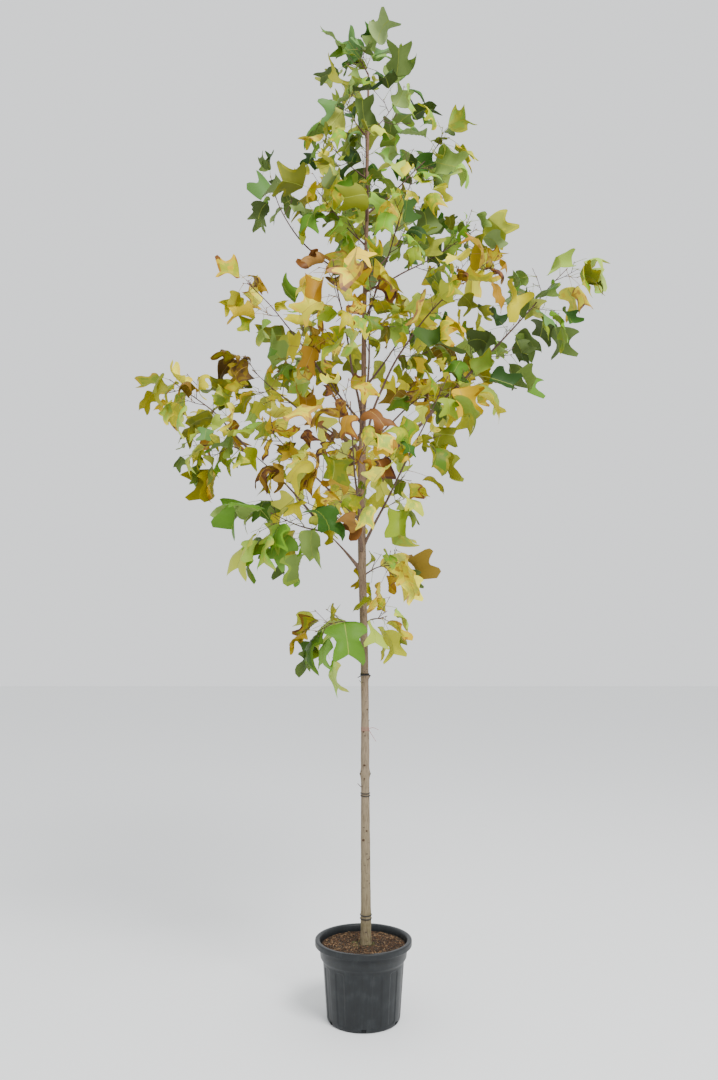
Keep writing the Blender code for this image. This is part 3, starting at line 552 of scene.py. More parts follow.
def ball(subdivisions):
    """A faceted ball of unit radius, as points and triangles."""
    bm = bmesh.new()
    bmesh.ops.create_icosphere(bm, subdivisions=subdivisions, radius=1.0)
    points, faces, _ = taken_apart(bm)
    return points, faces


def lumpy(points, unevenness, rng):
    """A ball's points moved in and out by chance."""
    return points * (1.0 + unevenness * np.array([[rng.uniform(-1.0, 1.0)] for _ in points]))


def tube_template(sides, rings):
    """A closed tube of unit length and radius, rolled from a grid: turn, ring and triangles."""
    if (sides, rings) not in TUBES:
        bm = bmesh.new()
        grid = bmesh.ops.create_grid(bm, x_segments=sides, y_segments=rings - 1, size=0.5)["verts"]
        for vert in grid:
            turn = (vert.co.x + 0.5) * math.tau
            vert.co = (math.cos(turn), math.sin(turn), vert.co.y + 0.5)
        bmesh.ops.remove_doubles(bm, verts=bm.verts, dist=1e-4)
        bmesh.ops.holes_fill(bm, edges=bm.edges, sides=sides)
        bmesh.ops.recalc_face_normals(bm, faces=bm.faces)
        points, faces, _ = taken_apart(bm)
        turns = np.arctan2(points[:, 1], points[:, 0])
        TUBES[sides, rings] = turns, np.rint(points[:, 2] * (rings - 1)).astype(int), faces
    return TUBES[sides, rings]


def smooth_path(points, radii, steps):
    """Points on a smooth curve through a limb's points, with radii, a few to each span."""
    ends = [points[0] * 2.0 - points[1]] + list(points) + [points[-1] * 2.0 - points[-2]]
    path, sizes = [], []
    for index in range(len(points) - 1):
        before, a, b, after = ends[index:index + 4]
        for step in range(steps):
            t = step / steps
            path.append(0.5 * (
                a * 2.0 + (b - before) * t + (before * 2.0 - a * 5.0 + b * 4.0 - after) * t * t
                + (a * 3.0 - before - b * 3.0 + after) * t ** 3
            ))
            sizes.append(radii[index] + (radii[index + 1] - radii[index]) * t)
    return path + [points[-1]], sizes + [radii[-1]]


def ring_frames(path):
    """Two unit vectors square to the path at each of its points, without twist."""
    path = np.array(path)
    heading = np.gradient(path, axis=0)
    heading /= np.linalg.norm(heading, axis=1)[:, None]
    side = np.array(turned_away(Vector(heading[0]), 0.0))
    sides = []
    for direction in heading:
        side = side - direction * side.dot(direction)
        side /= np.linalg.norm(side)
        sides.append(side)
    sides = np.array(sides)
    return path, sides, np.cross(heading, sides)


def add_tube(heap, path, radii, sides, slot=0, relief=None):
    """A closed tube along a path; relief gives a share to add to the radius at a point."""
    path, first, second = ring_frames(path)
    turns, rings, faces = tube_template(sides, len(path))
    radius = np.array(radii)[rings]
    outward = first[rings] * np.cos(turns)[:, None] + second[rings] * np.sin(turns)[:, None]
    points = path[rings] + outward * radius[:, None]
    if relief:
        swell = np.array([relief(point) for point in points])
        points += outward * (radius * swell)[:, None]
    heap.add(points, faces, slot)


# ---------------------------------------------------------------- materials
def linear(colour):
    """An sRGB hex colour as linear RGBA."""
    channels = [int(colour[index:index + 2], 16) / 255.0 for index in (0, 2, 4)]
    return [c / 12.92 if c <= 0.04045 else ((c + 0.055) / 1.055) ** 2.4 for c in channels] + [1.0]


def lightened(colour, light, white):
    """An sRGB hex colour made lighter or darker, then mixed with a share of white."""
    channels = (int(colour[start:start + 2], 16) * light for start in (0, 2, 4))
    return "".join(f"{min(255, round(channel + (255 - channel) * white)):02X}" for channel in channels)


def scale_of(grain_mm):
    """The scale of a pattern whose grains are so many millimetres across."""
    return 1.0 / (grain_mm * MM)


def add_node(material, kind, inputs=None, stops=(), output=0, **settings):
    """A node with its settings, and one of its outputs, which is given back.

    An input takes a value, or a socket that is linked to it.  The stops are a colour ramp's:
    position and hex colour, in rising order.
    """
    tree = material.node_tree
    node = tree.nodes.new("ShaderNode" + kind)
    for name, value in settings.items():
        setattr(node, name, value)
    for name, value in (inputs or {}).items():
        if isinstance(value, bpy.types.NodeSocket):
            tree.links.new(value, node.inputs[name])
        else:
            node.inputs[name].default_value = value
    for number, (position, colour) in enumerate(stops):
        elements = node.color_ramp.elements
        element = elements[number] if number < len(elements) else elements.new(position)
        element.position = position
        element.color = linear(colour)
    return node.outputs[output]


def surface(name, colour, roughness, specular=0.5):
    """A material with its Principled shader, and the place on the piece that its patterns read."""
    material = bpy.data.materials.new(name)
    material.use_nodes = True
    shader = material.node_tree.nodes["Principled BSDF"]
    shader.inputs["Base Color"].default_value = linear(colour)
    shader.inputs["Roughness"].default_value = roughness
    shader.inputs["Specular IOR Level"].default_value = specular
    return material, add_node(material, "TexCoord", output="Object")


def feed(material, name, output):
    """Link an output to one of the shader's own inputs."""
    material.node_tree.links.new(output, material.node_tree.nodes["Principled BSDF"].inputs[name])


def clouded(name, colour, roughness, specular, grain_mm, detail, stops):
    """A material whose tint clouds from stop to stop, in grains of so many millimetres."""
    material, place = surface(name, colour, roughness, specular)
    clouds = add_node(material, "TexNoise", {"Vector": place, "Scale": scale_of(grain_mm), "Detail": detail})
    feed(material, "Base Color", add_node(material, "ValToRGB", {"Fac": clouds}, stops))
    return material, place, clouds


QUILTING_MM = 4.0                # coarser than the real fine veins, so that it shows


def leaf_skin(name, colour, roughness):
    """Living leaf, waxy and thin: one plain tint, a dull sheen, and quilting by the fine veins."""
    material, place = surface(name, colour, roughness, 0.14)
    cells = {"Vector": place, "Scale": scale_of(QUILTING_MM)}
    height = add_node(material, "TexVoronoi", cells, feature="SMOOTH_F1")
    relief = {"Height": height, "Strength": 0.4, "Distance": 0.6 * MM}
    feed(material, "Normal", add_node(material, "Bump", relief))
    return material


PATCH_MM = 60.0                  # patches of paler and darker bark
PATCH_SHIFT = 0.16               # how far a patch shifts the tint from stop to stop
STREAK_FLATTENING = 0.09         # streaks run up the stem, eleven times as long as wide
LENTICEL_FLATTENING = 1.7        # lenticels lie across it
STREAK_STOPS = ((0.30, "8C8078"), (0.52, "F4F0EA"), (0.72, "FFFFFF"))
LENTICEL_TINT = "4E4238"
LENTICEL_EDGE = (0.10, 0.20)     # half its size and the end of its blur, in spacings


def bark_skin(name, stops, low, high, lenticel_mm, streak_mm):
    """Young bark, a thin dry cork: tinted by height, streaked along the grain, dotted with lenticels."""
    material, place = surface(name, stops[0][1], 0.78, 0.3)
    height = add_node(material, "SeparateXYZ", {"Vector": place}, output="Z")
    patches = add_node(material, "TexNoise", {"Vector": place, "Scale": scale_of(PATCH_MM), "Detail": 3.0})
    climb = add_node(material, "MapRange", {
        "Value": height, "From Min": low, "From Max": high,
        "To Min": -PATCH_SHIFT / 2.0, "To Max": 1.0 - PATCH_SHIFT / 2.0,
    })
    shifted = add_node(material, "Math", {0: patches, 1: PATCH_SHIFT, 2: climb}, operation="MULTIPLY_ADD")
    base = add_node(material, "ValToRGB", {"Fac": shifted}, stops)
    grain = add_node(material, "Mapping", {"Vector": place, "Scale": (1.0, 1.0, STREAK_FLATTENING)})
    streaks = add_node(material, "TexNoise", {"Vector": grain, "Scale": scale_of(streak_mm), "Detail": 5.0})
    streak_tint = add_node(material, "ValToRGB", {"Fac": streaks}, STREAK_STOPS)
    streaked = add_node(
        material, "Mix", {"Factor": 0.75, 6: base, 7: streak_tint}, output=2,
        data_type="RGBA", blend_type="MULTIPLY",
    )
    flat = add_node(material, "Mapping", {"Vector": place, "Scale": (1.0, 1.0, LENTICEL_FLATTENING)})
    dots = add_node(material, "TexVoronoi", {"Vector": flat, "Scale": scale_of(lenticel_mm)})
    lenticels = add_node(material, "MapRange", {
        "Value": dots, "From Min": LENTICEL_EDGE[0], "From Max": LENTICEL_EDGE[1],
        "To Min": 1.0, "To Max": 0.0,
    })
    dotted = {"Factor": lenticels, 6: streaked, 7: linear(LENTICEL_TINT)}
    feed(material, "Base Color", add_node(material, "Mix", dotted, output=2, data_type="RGBA"))
    height = add_node(material, "Math", {0: lenticels, 1: 0.5, 2: streaks}, operation="MULTIPLY_ADD")
    relief = {"Height": height, "Strength": 0.5, "Distance": 0.8 * MM}
    feed(material, "Normal", add_node(material, "Bump", relief))
    return material


# ---------------------------------------------------------------- leaves
# Tints of a tulip tree's leaf from summer green to dry rust: upper face and paler under face.
TINTS = (
    ("deep_green", "385E1E", "667A3C"),
    ("leaf_green", "527A1E", "789044"),
    ("fresh_green", "6C981E", "8AA43C"),
    ("olive_green", "809420", "989E34"),
    ("yellow_green", "98A01C", "B0B02E"),
    ("lemon", "B6AC14", "CAC022"),
    ("gold", "C2A010", "CEB21E"),
    ("amber", "987014", "A48420"),
    ("rust", "744A20", "86622E"),
    ("dry_brown", "523428", "665030"),
)
STAGES = len(TINTS)
# name, light and share of white of each shade of a tint: a painted shade, the plain tint, and a painted sheen
SHADES = (("shaded", 0.72, 0.0), ("plain", 1.0, 0.0), ("bleached", 1.12, 0.12))
# name, column in TINTS and roughness of each face: the upper one is waxier
FACES = (("leaf", 1, 0.5), ("underleaf", 2, 0.62))
VEIN_TINTS = (("vein_green", "8E9A3A", 0.5), ("vein_tan", "A08040", 0.5))
STALK_TINTS = (("stalk_green", "8C9440", 0.5), ("stalk_tan", "96743C", 0.55))
WARM_STAGE = 6                   # beyond it no leaf takes the paler, whitened copy that paints a sheen
VEIN_TURNS_AT = 5                # from this stage on, veins and stalks are tan
# rows of the blade from its base to its tip: place along the midrib, half width, in blade lengths
BLADE_ROWS = (
    (0.00, 0.05), (0.03, 0.25), (0.08, 0.40), (0.15, 0.49), (0.22, 0.545), (0.29, 0.560), (0.34, 0.450),
    (0.40, 0.365), (0.48, 0.320), (0.57, 0.320), (0.68, 0.365), (0.80, 0.430), (0.91, 0.490), (1.00, 0.440),
)
# columns across the blade, in half widths; the narrow strip in the middle is the midrib
BLADE_COLUMNS = (-1.0, -0.76, -0.50, -0.24, -0.02, 0.02, 0.24, 0.50, 0.76, 1.0)
NOTCH = 0.22                     # depth of the notch between the upper lobes, in blade lengths
BLADE_THICKNESS = 0.7 * MM
LEAVES_IN_A_PIECE = 300          # keeps each joined piece under 200,000 triangles
# how each blade is bent, by chance; one that is dry is bent more
DRY_FROM = 0.6                   # share of the stages from which a leaf is dry
ROLLS, DRY_ROLLS = (0.5, 1.2, 2.2, 3.4), (3.0, 9.0)
FOLDS = (0.7, 1.1, 1.6, 2.6)
RIPPLES, DRY_RIPPLE = (0.02, 0.08), 0.12
TWIST = 0.45
DROOPS, DRY_DROOPS = (1.0, 2.6), (0.0, 2.0)
WAISTS, LOBES, LEANS = (-0.18, 0.22), (-0.12, 0.12), (-0.08, 0.08)
WAIST_ROW, LOBE_ROW = (0.48, 0.13), (0.25, 0.09)       # place along the midrib and reach
RIB_HEIGHT, MIDRIB_DEPTH = 0.009, 0.008                # of the panels between the side veins
# how unevenly each blade turns, by chance
PATCHES = (0.0, 0.8, 1.4, 2.2)
EDGES = (0.0, 0.5, 1.0, 1.3)
MARGIN = 0.80                    # share of the half width beyond which the edge turns first
SHADE_ODDS = (0, 0, 1, 1, 1, 2, 2)
STALK_RINGS = (1.7, 1.05, 0.9, 0.85, 0.8)              # swollen where it sits on the twig


def blade_template():
    """A two-sided blade: column, row and layer of each point, and each triangle with its panel.

    The panels lie between the side veins.  For each there is its place across and along, and
    whether it is on the under face.
    """
    columns, rows = len(BLADE_COLUMNS) - 1, len(BLADE_ROWS) - 1
    bm = bmesh.new()
    bmesh.ops.create_grid(bm, x_segments=columns, y_segments=rows, size=0.5)
    bmesh.ops.solidify(bm, geom=bm.faces[:], thickness=1.0)
    bmesh.ops.recalc_face_normals(bm, faces=bm.faces)
    middles = []
    for number, face in enumerate(bm.faces):
        face.material_index = number
        middles.append(face.calc_center_median())
    middles = np.array(middles)
    points, faces, panels = taken_apart(bm)
    column = np.rint((points[:, 0] + 0.5) * columns).astype(int)
    row = np.rint((points[:, 1] + 0.5) * rows).astype(int)
    layer = np.where(points[:, 2] > points[:, 2].mean(), 0.5, -0.5)
    across = np.interp((middles[:, 0] + 0.5) * columns, range(columns + 1), BLADE_COLUMNS)
    along = np.interp((middles[:, 1] + 0.5) * rows, range(rows + 1), [place for place, _ in BLADE_ROWS])
    under = middles[:, 2] < points[:, 2].mean()
    return (column, row, layer), faces, panels, (across, along, under)


def blade_points(leaf, column, row, layer):
    """The blade in its place: lobed, folded at the midrib, rolled, rippled and twisted."""
    rng = leaf.rng
    dryness = max(0.0, leaf.stage / (STAGES - 1) - DRY_FROM)
    roll = rng.choice((-1.0, -1.0, 1.0)) * (rng.choice(ROLLS) + dryness * rng.uniform(*DRY_ROLLS))
    fold = leaf.fold * rng.choice(FOLDS)
    ripple = rng.uniform(*RIPPLES) + dryness * DRY_RIPPLE
    phase = rng.uniform(0.0, math.tau)
    twist = rng.gauss(0.0, TWIST) * (1.0 + 2.0 * dryness)
    droop = leaf.curl * rng.uniform(*DROOPS) + dryness * rng.uniform(*DRY_DROOPS)
    waist, lobes, lean = rng.uniform(*WAISTS), rng.uniform(*LOBES), rng.uniform(*LEANS)

    def bulge(place, reach):
        return np.exp(-((v - place) / reach) ** 2)

    u = np.array(BLADE_COLUMNS)[None, :]
    v, half = (np.array(column)[:, None] for column in zip(*BLADE_ROWS))
    half = half * (1.0 + waist * bulge(*WAIST_ROW) + lobes * bulge(*LOBE_ROW))
    across = u * half * (1.0 + lean * np.sign(u))
    along = v - NOTCH * (1.0 - np.abs(u) ** 0.85) * v ** 0.9
    height = fold * 0.7 * np.abs(across) - droop * (along - BLADE_MIDDLE) ** 2
    height = height + ripple * u ** 2 * np.sin(phase + 9.0 * along + 1.5 * np.sign(u))
    ribs = RIB_HEIGHT * np.cos(np.arange(len(BLADE_ROWS)) * math.pi)[:, None] * (1.0 - u ** 2)
    height = height + ribs - MIDRIB_DEPTH * (np.abs(u) < 0.1)
    height = height + (1.0 - np.cos(roll * across)) / roll
    across = np.sin(roll * across) / roll
    cos, sin = np.cos(twist * along), np.sin(twist * along)
    across, height = across * cos - height * sin, across * sin + height * cos
    grid = np.stack((across, along, height), axis=-1)
    facing = np.cross(np.gradient(grid, axis=1), np.gradient(grid, axis=0))
    facing /= np.linalg.norm(facing, axis=-1)[..., None] + 1e-9
    flat = grid[row, column] * leaf.length + facing[row, column] * (layer * BLADE_THICKNESS)[:, None]
    axes = np.array((leaf.across, leaf.along, leaf.normal))
    return flat @ axes + np.array(leaf.base)


def panel_slots(leaf, across, along, under):
    """Material numbers of a blade's panels: it turns first at the margins and in blotches."""
    rng = leaf.rng
    uneven = rng.choice(PATCHES) * min(1.0, 0.1 + 0.18 * leaf.stage)
    first, second, third = (rng.uniform(0.0, math.tau) for _ in range(3))
    blotch = np.sin(10.0 * along + 3.0 * across + first) + np.sin(6.0 * across - 7.0 * along + second)
    blotch = 0.5 * blotch + 0.5 * np.sin(13.0 * along + third) * np.sin(9.0 * across + first)
    blotch = np.maximum(blotch, -0.2)
    margin = np.maximum(np.abs(across), (along - 0.75) * 4.0)
    # each leaf draws by chance a darker copy of its tint as painted shade, the plain tint, or a paler
    # whitened copy as a painted sheen
    edge, shade = rng.choice(EDGES), rng.choice(SHADE_ODDS)
    if leaf.stage > WARM_STAGE:
        shade = min(shade, 1)
    stage = leaf.stage + uneven * (0.75 * blotch + edge * (margin > MARGIN) - 0.3)
    stage = np.clip(np.rint(stage), 0, STAGES - 1).astype(int)
    vein = 2 * STAGES * len(SHADES) + (leaf.stage >= VEIN_TURNS_AT)
    return np.where(np.abs(across) < 0.01, vein, stage + STAGES * (under + 2 * shade))


def stalk_path(leaf):
    """A leaf stalk's bow from its node to the foot of the blade."""
    reach = leaf.base - leaf.root
    start = leaf.root - reach.normalized() * TWIG_TIP_RADIUS * 0.5
    bend = leaf.root + reach * 0.55 + UP * reach.length * leaf.rng.uniform(0.02, 0.12)
    end = leaf.base + leaf.along * 0.02 * leaf.length
    return [start.lerp(bend, t).lerp(bend.lerp(end, t), t) for t in (0.0, 0.25, 0.5, 0.75, 1.0)]


def make_leaves(masses):
    """Blades, joined into a few pieces from the crown's foot up, and every stalk in one more."""
    shape, faces, panels, places = blade_template()
    paints = []
    # each tint and face in three copies: painted shade, plain, and a painted sheen
    for shade, light, white in SHADES:
        for face, column, roughness in FACES:
            paints += [
                leaf_skin(f"{face}_{tint[0]}_{shade}", lightened(tint[column], light, white), roughness)
                for tint in TINTS
            ]
    paints += [leaf_skin(*tint) for tint in VEIN_TINTS]
    radii = [PETIOLE_RADIUS * share for share in STALK_RINGS]
    stalks, blades, nodes, count, piece = Heap(), Heap(), [], 0, 1
    for name, (_, leaves) in masses.items():
        if count + len(leaves) > LEAVES_IN_A_PIECE:
            blades.make(f"leaf_blades_{piece}", paints, "autumn_leaves", nodes)
            blades, nodes, count, piece = Heap(), [], 0, piece + 1
        nodes.append("leaves_" + name)
        count += len(leaves)
        for leaf in leaves:
            blades.add(blade_points(leaf, *shape), faces, panel_slots(leaf, *places)[panels])
            add_tube(stalks, stalk_path(leaf), radii, 5, int(leaf.stage >= VEIN_TURNS_AT))
    blades.make(f"leaf_blades_{piece}", paints, "autumn_leaves", nodes)
    stalks.make("leaf_stalks", [leaf_skin(*tint) for tint in STALK_TINTS], "autumn_leaves")


# ---------------------------------------------------------------- wood
BUD_LENGTH = 0.011
BUD_SIZES = (0.35, 0.75)         # shares of it, along a limb; the buds at the tips are whole
BUD_SPACING = 0.085              # between buds and short spurs on the bare stretches of a limb
SPURS = (0.0, 0.0, 0.012, 0.03)  # lengths, by chance
SPUR_RADII = (1.3 * MM, 1.1 * MM, 1.0 * MM)
BOUGH_FROM = 0.005               # a thinner limb is joined to the twigs
SCAR_RING = 0.004                # the swollen ring at an old leaf scar
BOUGH_STOPS = ((0.0, "6E5A4E"), (0.4, "614A42"), (0.7, "5A423C"), (1.0, "584038"))
TWIG_STOPS = ((0.0, "5E4740"), (0.5, "553C38"), (1.0, "5F453A"))


def bud_template():
    """A winter bud, blunt and a little flat, of unit length from its foot."""
    bm = bmesh.new()
    bmesh.ops.create_uvsphere(bm, u_segments=6, v_segments=5, radius=0.5)
    for vert in bm.verts:
        height = vert.co.z + 0.5
        pinch = 0.62 * (1.0 - 0.45 * height)
        vert.co = (vert.co.x * pinch, vert.co.y * pinch * 0.7, height)
    points, faces, _ = taken_apart(bm)
    return points, faces


def add_bud(heap, template, foot, heading, length, turn):
    points, faces = template
    side = turned_away(heading, turn)
    axes = np.array((side, heading.cross(side), heading))
    heap.add((points * length) @ axes + np.array(foot), faces)


def bough_relief(limb):
    """Slight unevenness and a ring at each old leaf scar, as a share of the radius."""
    pitch = 0.042 + 0.002 * first_turn(limb)

    def relief(point):
        x, y, z = point
        place = math.hypot(x, y) + z
        ring = math.exp(-((place / pitch % 1.0 - 0.5) * pitch / SCAR_RING) ** 2)
        return 0.10 * ring + 0.10 * noise.noise(Vector((x, y, z)) * 70.0)

    return relief


def make_wood(paths, masses):
    """Boughs, twigs and buds, three pieces."""
    boughs, twigs, buds = Heap(), Heap(), Heap()
    bud = bud_template()
    for limb in LIMBS:
        points, radii = paths[limb.name]
        path, sizes = smooth_path(points, radii, 14)
        add_tube(boughs if limb.thick >= BOUGH_FROM else twigs, path, sizes, 10, 0, bough_relief(limb))
        rng = random.Random(f"{limb.name} buds")
        length = path_length(points)
        for number in range(int(length / BUD_SPACING)):
            place, heading = along_path(points, (number + rng.uniform(0.5, 1.0)) * BUD_SPACING / length)
            side = turned_away(heading, number * GOLDEN_ANGLE + first_turn(limb))
            lean = (heading * 0.8 + side).normalized()
            spur = rng.choice(SPURS)
            tip = place + lean * (limb.thick + (LIMB_TIP_RADIUS - limb.thick) * 0.5 + spur)
            if spur:
                add_tube(twigs, [place, place.lerp(tip, 0.5), tip], SPUR_RADII, 5)
            add_bud(buds, bud, tip - lean * 0.5 * MM, lean, BUD_LENGTH * rng.uniform(*BUD_SIZES), number)
        if limb.name in masses:
            for number, twig in enumerate(masses[limb.name][0]):
                path, sizes = smooth_path(twig.points, twig.radii, 4)
                add_tube(twigs, path, sizes, 6)
                heading = (path[-1] - path[-2]).normalized()
                add_bud(buds, bud, path[-1] - heading * MM, heading, BUD_LENGTH, number)
            heading = (points[-1] - points[-2]).normalized()
            add_bud(buds, bud, points[-1] - heading * MM, heading, BUD_LENGTH * 1.3, 0)
    # last years' bark: smooth, thin and purplish brown, paler towards the trunk
    bough_skin = bark_skin("bark_purple_brown", BOUGH_STOPS, 2.0, 4.4, 9.0, 3.0)
    # this year's bark: darker and redder
    twig_skin = bark_skin("twig_bark", TWIG_STOPS, 1.7, 4.8, 6.0, 2.0)
    # bud scales: smooth and dark red under a pale bloom, with a soft sheen
    bud_skin, _, _ = clouded("bud_scales", "6B4038", 0.5, 0.5, 3.0, 2.0, ((0.3, "4E2C28"), (0.7, "8A5F4C")))
    bough_nodes = [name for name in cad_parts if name.startswith("bough_")]
    boughs.make("bough_bark", [bough_skin], "young_bark", bough_nodes)
    twigs.make("twigs", [twig_skin], "young_bark")
    buds.make("winter_buds", [bud_skin], "young_bark")


# ---------------------------------------------------------------- trunk
TRUNK_SIDES = 56
TRUNK_RING = 7.5 * MM
TRUNK_STOPS = (
    (0.0, "72694E"), (0.02, "80755C"), (0.20, "867864"), (0.34, "806E5A"), (0.55, "806654"), (1.0, "705446"),
)
# waves of the bark: height as a share of the radius, then waves a metre round and up the stem
BARK_WAVES = ((0.07, 9.0, 11.0), (0.025, 160.0, 22.0), (0.018, 90.0, 240.0))
# knots of the stem: height, side in degrees, then in mm the half size, how far it stands out, and
# the half size of its scar
TRUNK_MARKS = (
    (0.68, 315, 7, 1.6, 4), (0.76, 245, 9, 1.4, 7), (0.80, 285, 6, 1.4, 5), (1.03, 260, 6, 1.0, 4),
    (1.05, 195, 18, 5.0, 6), (1.05, 350, 18, 5.0, 7), (1.09, 260, 10, 1.5, 6), (1.24, 250, 6, 1.2, 5),
    (1.34, 305, 6, 1.0, 5), (1.40, 80, 7, 2.2, 3), (0.62, 110, 7, 2.0, 3), (0.88, 60, 6, 1.8, 3),
    (1.16, 130, 8, 2.4, 4), (1.49, 350, 10, 6.0, 5), (1.60, 200, 6, 1.8, 3), (1.86, 275, 6, 1.6, 3),
    (2.16, 120, 7, 2.2, 3), (3.14, 270, 7, 1.6, 3), (3.63, 270, 6, 1.6, 3),
)
# dead twig stubs of the stem: height, side in degrees, length
TRUNK_STUBS = ((0.99, 180, 0.024), (1.46, 150, 0.018), (1.28, 40, 0.016))
STUB_RADII = (1.8 * MM, 1.5 * MM, 1.2 * MM)
SCAR_SHARES = (1.0, 0.75, 0.28)  # across, up and out, of a scar's half size
# where limbs leave the stem: height, turn, and the limb's radius in its collar
LIMB_FEET = [
    (limb.foot + mix(TRUNK_RADII, limb.foot) * limb.rise / max(limb.reach, 0.1),
     math.radians(limb.side), limb.thick * (1.0 + COLLAR))
    for limb in LIMBS if limb.carrier == "trunk"
]


def apart(turn, other):
    """The angle from one turn to another, the short way round."""
    return (turn - other + math.pi) % math.tau - math.pi


def trunk_relief(point):
    """The bark's relief on the trunk, as a share of the radius there."""
    x, y, z = point
    radius = mix(TRUNK_RADII, z)
    turn = math.atan2(y, x - mix(TRUNK_LEAN, z))

    def swelling(height, side, stand, size):
        around = apart(turn, side) * radius
        return stand * math.exp(-(around ** 2 + (z - height) ** 2) / size ** 2)

    swell, out = 0.0, 0.0
    for share, level, upright in BARK_WAVES:
        swell += share * noise.noise(Vector((x * level, y * level, z * upright)))
    for height, side, size, stand, _ in TRUNK_MARKS:
        if abs(z - height) < 0.04:
            out += swelling(height, math.radians(side), stand * MM, size * MM)
    for height, side, size in LIMB_FEET:
        if abs(z - height) < 0.08:
            out += swelling(height, side, 0.45 * size, 1.7 * size)
    return swell + out / radius


def round_the_trunk(height, clear, slope, start, sweep, steps):
    """Points round the trunk on its bark, a little on the slope."""
    centre, radius = trunk_centre(height), mix(TRUNK_RADII, height)
    points = []
    for step in range(steps + 1):
        turn = start + sweep * step / steps
        around = compass(turn)
        bark = 1.0 + trunk_relief(centre + around * radius)
        points.append(centre + around * (radius * bark + clear) + UP * slope * math.sin(turn))
    return points


def make_trunk():
    """The stem, with its bark's waves and knots, and the swellings where limbs leave it."""
    rings = round((TRUNK_TOP - TRUNK_FOOT) / TRUNK_RING)
    heights = [TRUNK_FOOT + (TRUNK_TOP - TRUNK_FOOT) * index / rings for index in range(rings + 1)]
    heap = Heap()
    path, radii = [trunk_centre(height) for height in heights], [mix(TRUNK_RADII, z) for z in heights]
    add_tube(heap, path, radii, TRUNK_SIDES, 0, trunk_relief)
    # older bark: greyer, green with algae at the foot, its lenticels drawn coarse enough to show
    skin = bark_skin("bark_of_the_stem", TRUNK_STOPS, SOIL_TOP, TRUNK_TOP, 34.0, 2.6)
    heap.make("trunk_bark", [skin], "bark", ["trunk"])


def make_scars():
    """Dark corky scars where side shoots were cut from the stem, and the stubs of dead twigs."""
    points, faces = ball(2)
    rng = random.Random(5)
    heap = Heap()
    for height, side, _, _, size in TRUNK_MARKS:
        around = compass(math.radians(side))
        radius = mix(TRUNK_RADII, height)
        foot = trunk_centre(height) + around * radius
        foot += around * radius * trunk_relief(foot)
        axes = np.array((UP.cross(around), UP, around))
        lump = lumpy(points, 0.2, rng) * (np.array(SCAR_SHARES) * size * MM)
        heap.add(lump @ axes + np.array(foot), faces)
    for height, side, length in TRUNK_STUBS:
        foot = round_the_trunk(height, -MM, 0.0, math.radians(side), 0.1, 1)[0]
        tip = foot + (foot - trunk_centre(height)).normalized() * length * 0.7 + UP * length * 0.7
        add_tube(heap, [foot, foot.lerp(tip, 0.5), tip], STUB_RADII, 6)
    # weathered cork: nearly black and quite dull, browner along its fine cracks
    cork, _, _ = clouded("cork_of_a_scar", "40322A", 0.9, 0.2, 2.0, 4.0, ((0.35, "261D17"), (0.65, "5C4838")))
    heap.make("bark_scars", [cork], "bark")


# ---------------------------------------------------------------- ties and thread
TIES = (("tie_low", 0.420, 0.015), ("tie_middle", 0.953, 0.011), ("tie_high", 1.498, 0.005))
TIE_LOOPS = 2                    # so far apart, in the third column
TIE_RADIUS = 2.4 * MM
TIE_START = -1.6
LOOP_SWEEP = math.tau * 0.999    # all but closed, so that its ends don't cross
# loose ends of the high tie: where on the trunk it starts, and its reach
TIE_ENDS = ((-1.6, (0.030, -0.012, -0.004)), (-1.5, (-0.034, -0.008, -0.012)))
TIE_BEND = (0.0, -0.006, 0.003)
TIE_END_RADII = (TIE_RADIUS * 1.5, TIE_RADIUS, TIE_RADIUS * 0.8)
THREAD_LOOPS = (1.246, 1.252, 1.259)
THREAD_RADIUS = 0.8 * MM
THREAD_START = -0.6
# loose ends of the thread: bend and end, from its knot
THREAD_ENDS = (
    ((0.020, -0.004, 0.006), (0.046, -0.008, -0.004)),
    ((0.012, -0.006, -0.022), (0.034, -0.010, -0.056)),
)
THREAD_END_RADII = (1.2 * MM, 1.1 * MM, 0.9 * MM)


def make_ties():
    """Two loops of stretch tube at each tie, with two loose ends at the high one."""
    # soft PVC tube: black and smooth, with a soft sheen and a little brown dust
    skin, _, _ = clouded(
        "stretch_tube_pvc", "1C1D20", 0.5, 0.3, 6.0, 4.0, ((0.35, "17181B"), (0.7, "38342F"))
    )
    for name, height, pitch in TIES:
        heap = Heap()
        for loop in range(TIE_LOOPS):
            path = round_the_trunk(
                height + loop * pitch, TIE_RADIUS * 0.5, 1.2 * MM, TIE_START, LOOP_SWEEP, 40
            )
            add_tube(heap, path, [TIE_RADIUS] * len(path), 8)
        if name == "tie_high":
            for start, end in TIE_ENDS:
                foot = round_the_trunk(height, TIE_RADIUS, 0.0, start, 0.1, 1)[0]
                tail = foot + Vector(end)
                path = [foot, foot.lerp(tail, 0.5) + Vector(TIE_BEND), tail]
                add_tube(heap, *smooth_path(path, TIE_END_RADII, 4), 8)
        heap.make(name + "_loops", [skin], "rubber_band", [name])


def make_thread():
    """A faded red thread, wound round the stem, with two loose ends."""
    # spun cotton, faded by the weather: quite dull, dusty red
    skin, _, _ = clouded(
        "cotton_thread_red", "9C544E", 0.8, 0.5, 2.0, 2.0, ((0.3, "7C403E"), (0.7, "B4706A"))
    )
    heap = Heap()
    for height in THREAD_LOOPS:
        loop = round_the_trunk(height, 0.5 * MM, 2.0 * MM, THREAD_START, LOOP_SWEEP, 36)
        add_tube(heap, loop, [THREAD_RADIUS] * len(loop), 5)
    knot = round_the_trunk(THREAD_LOOPS[1], THREAD_RADIUS, 0.0, THREAD_START, 0.1, 1)[0]
    for bend, end in THREAD_ENDS:
        path = [knot, knot + Vector(bend), knot + Vector(end)]
        add_tube(heap, *smooth_path(path, THREAD_END_RADII, 5), 5)
    heap.make("red_thread", [skin], "rubber_band")


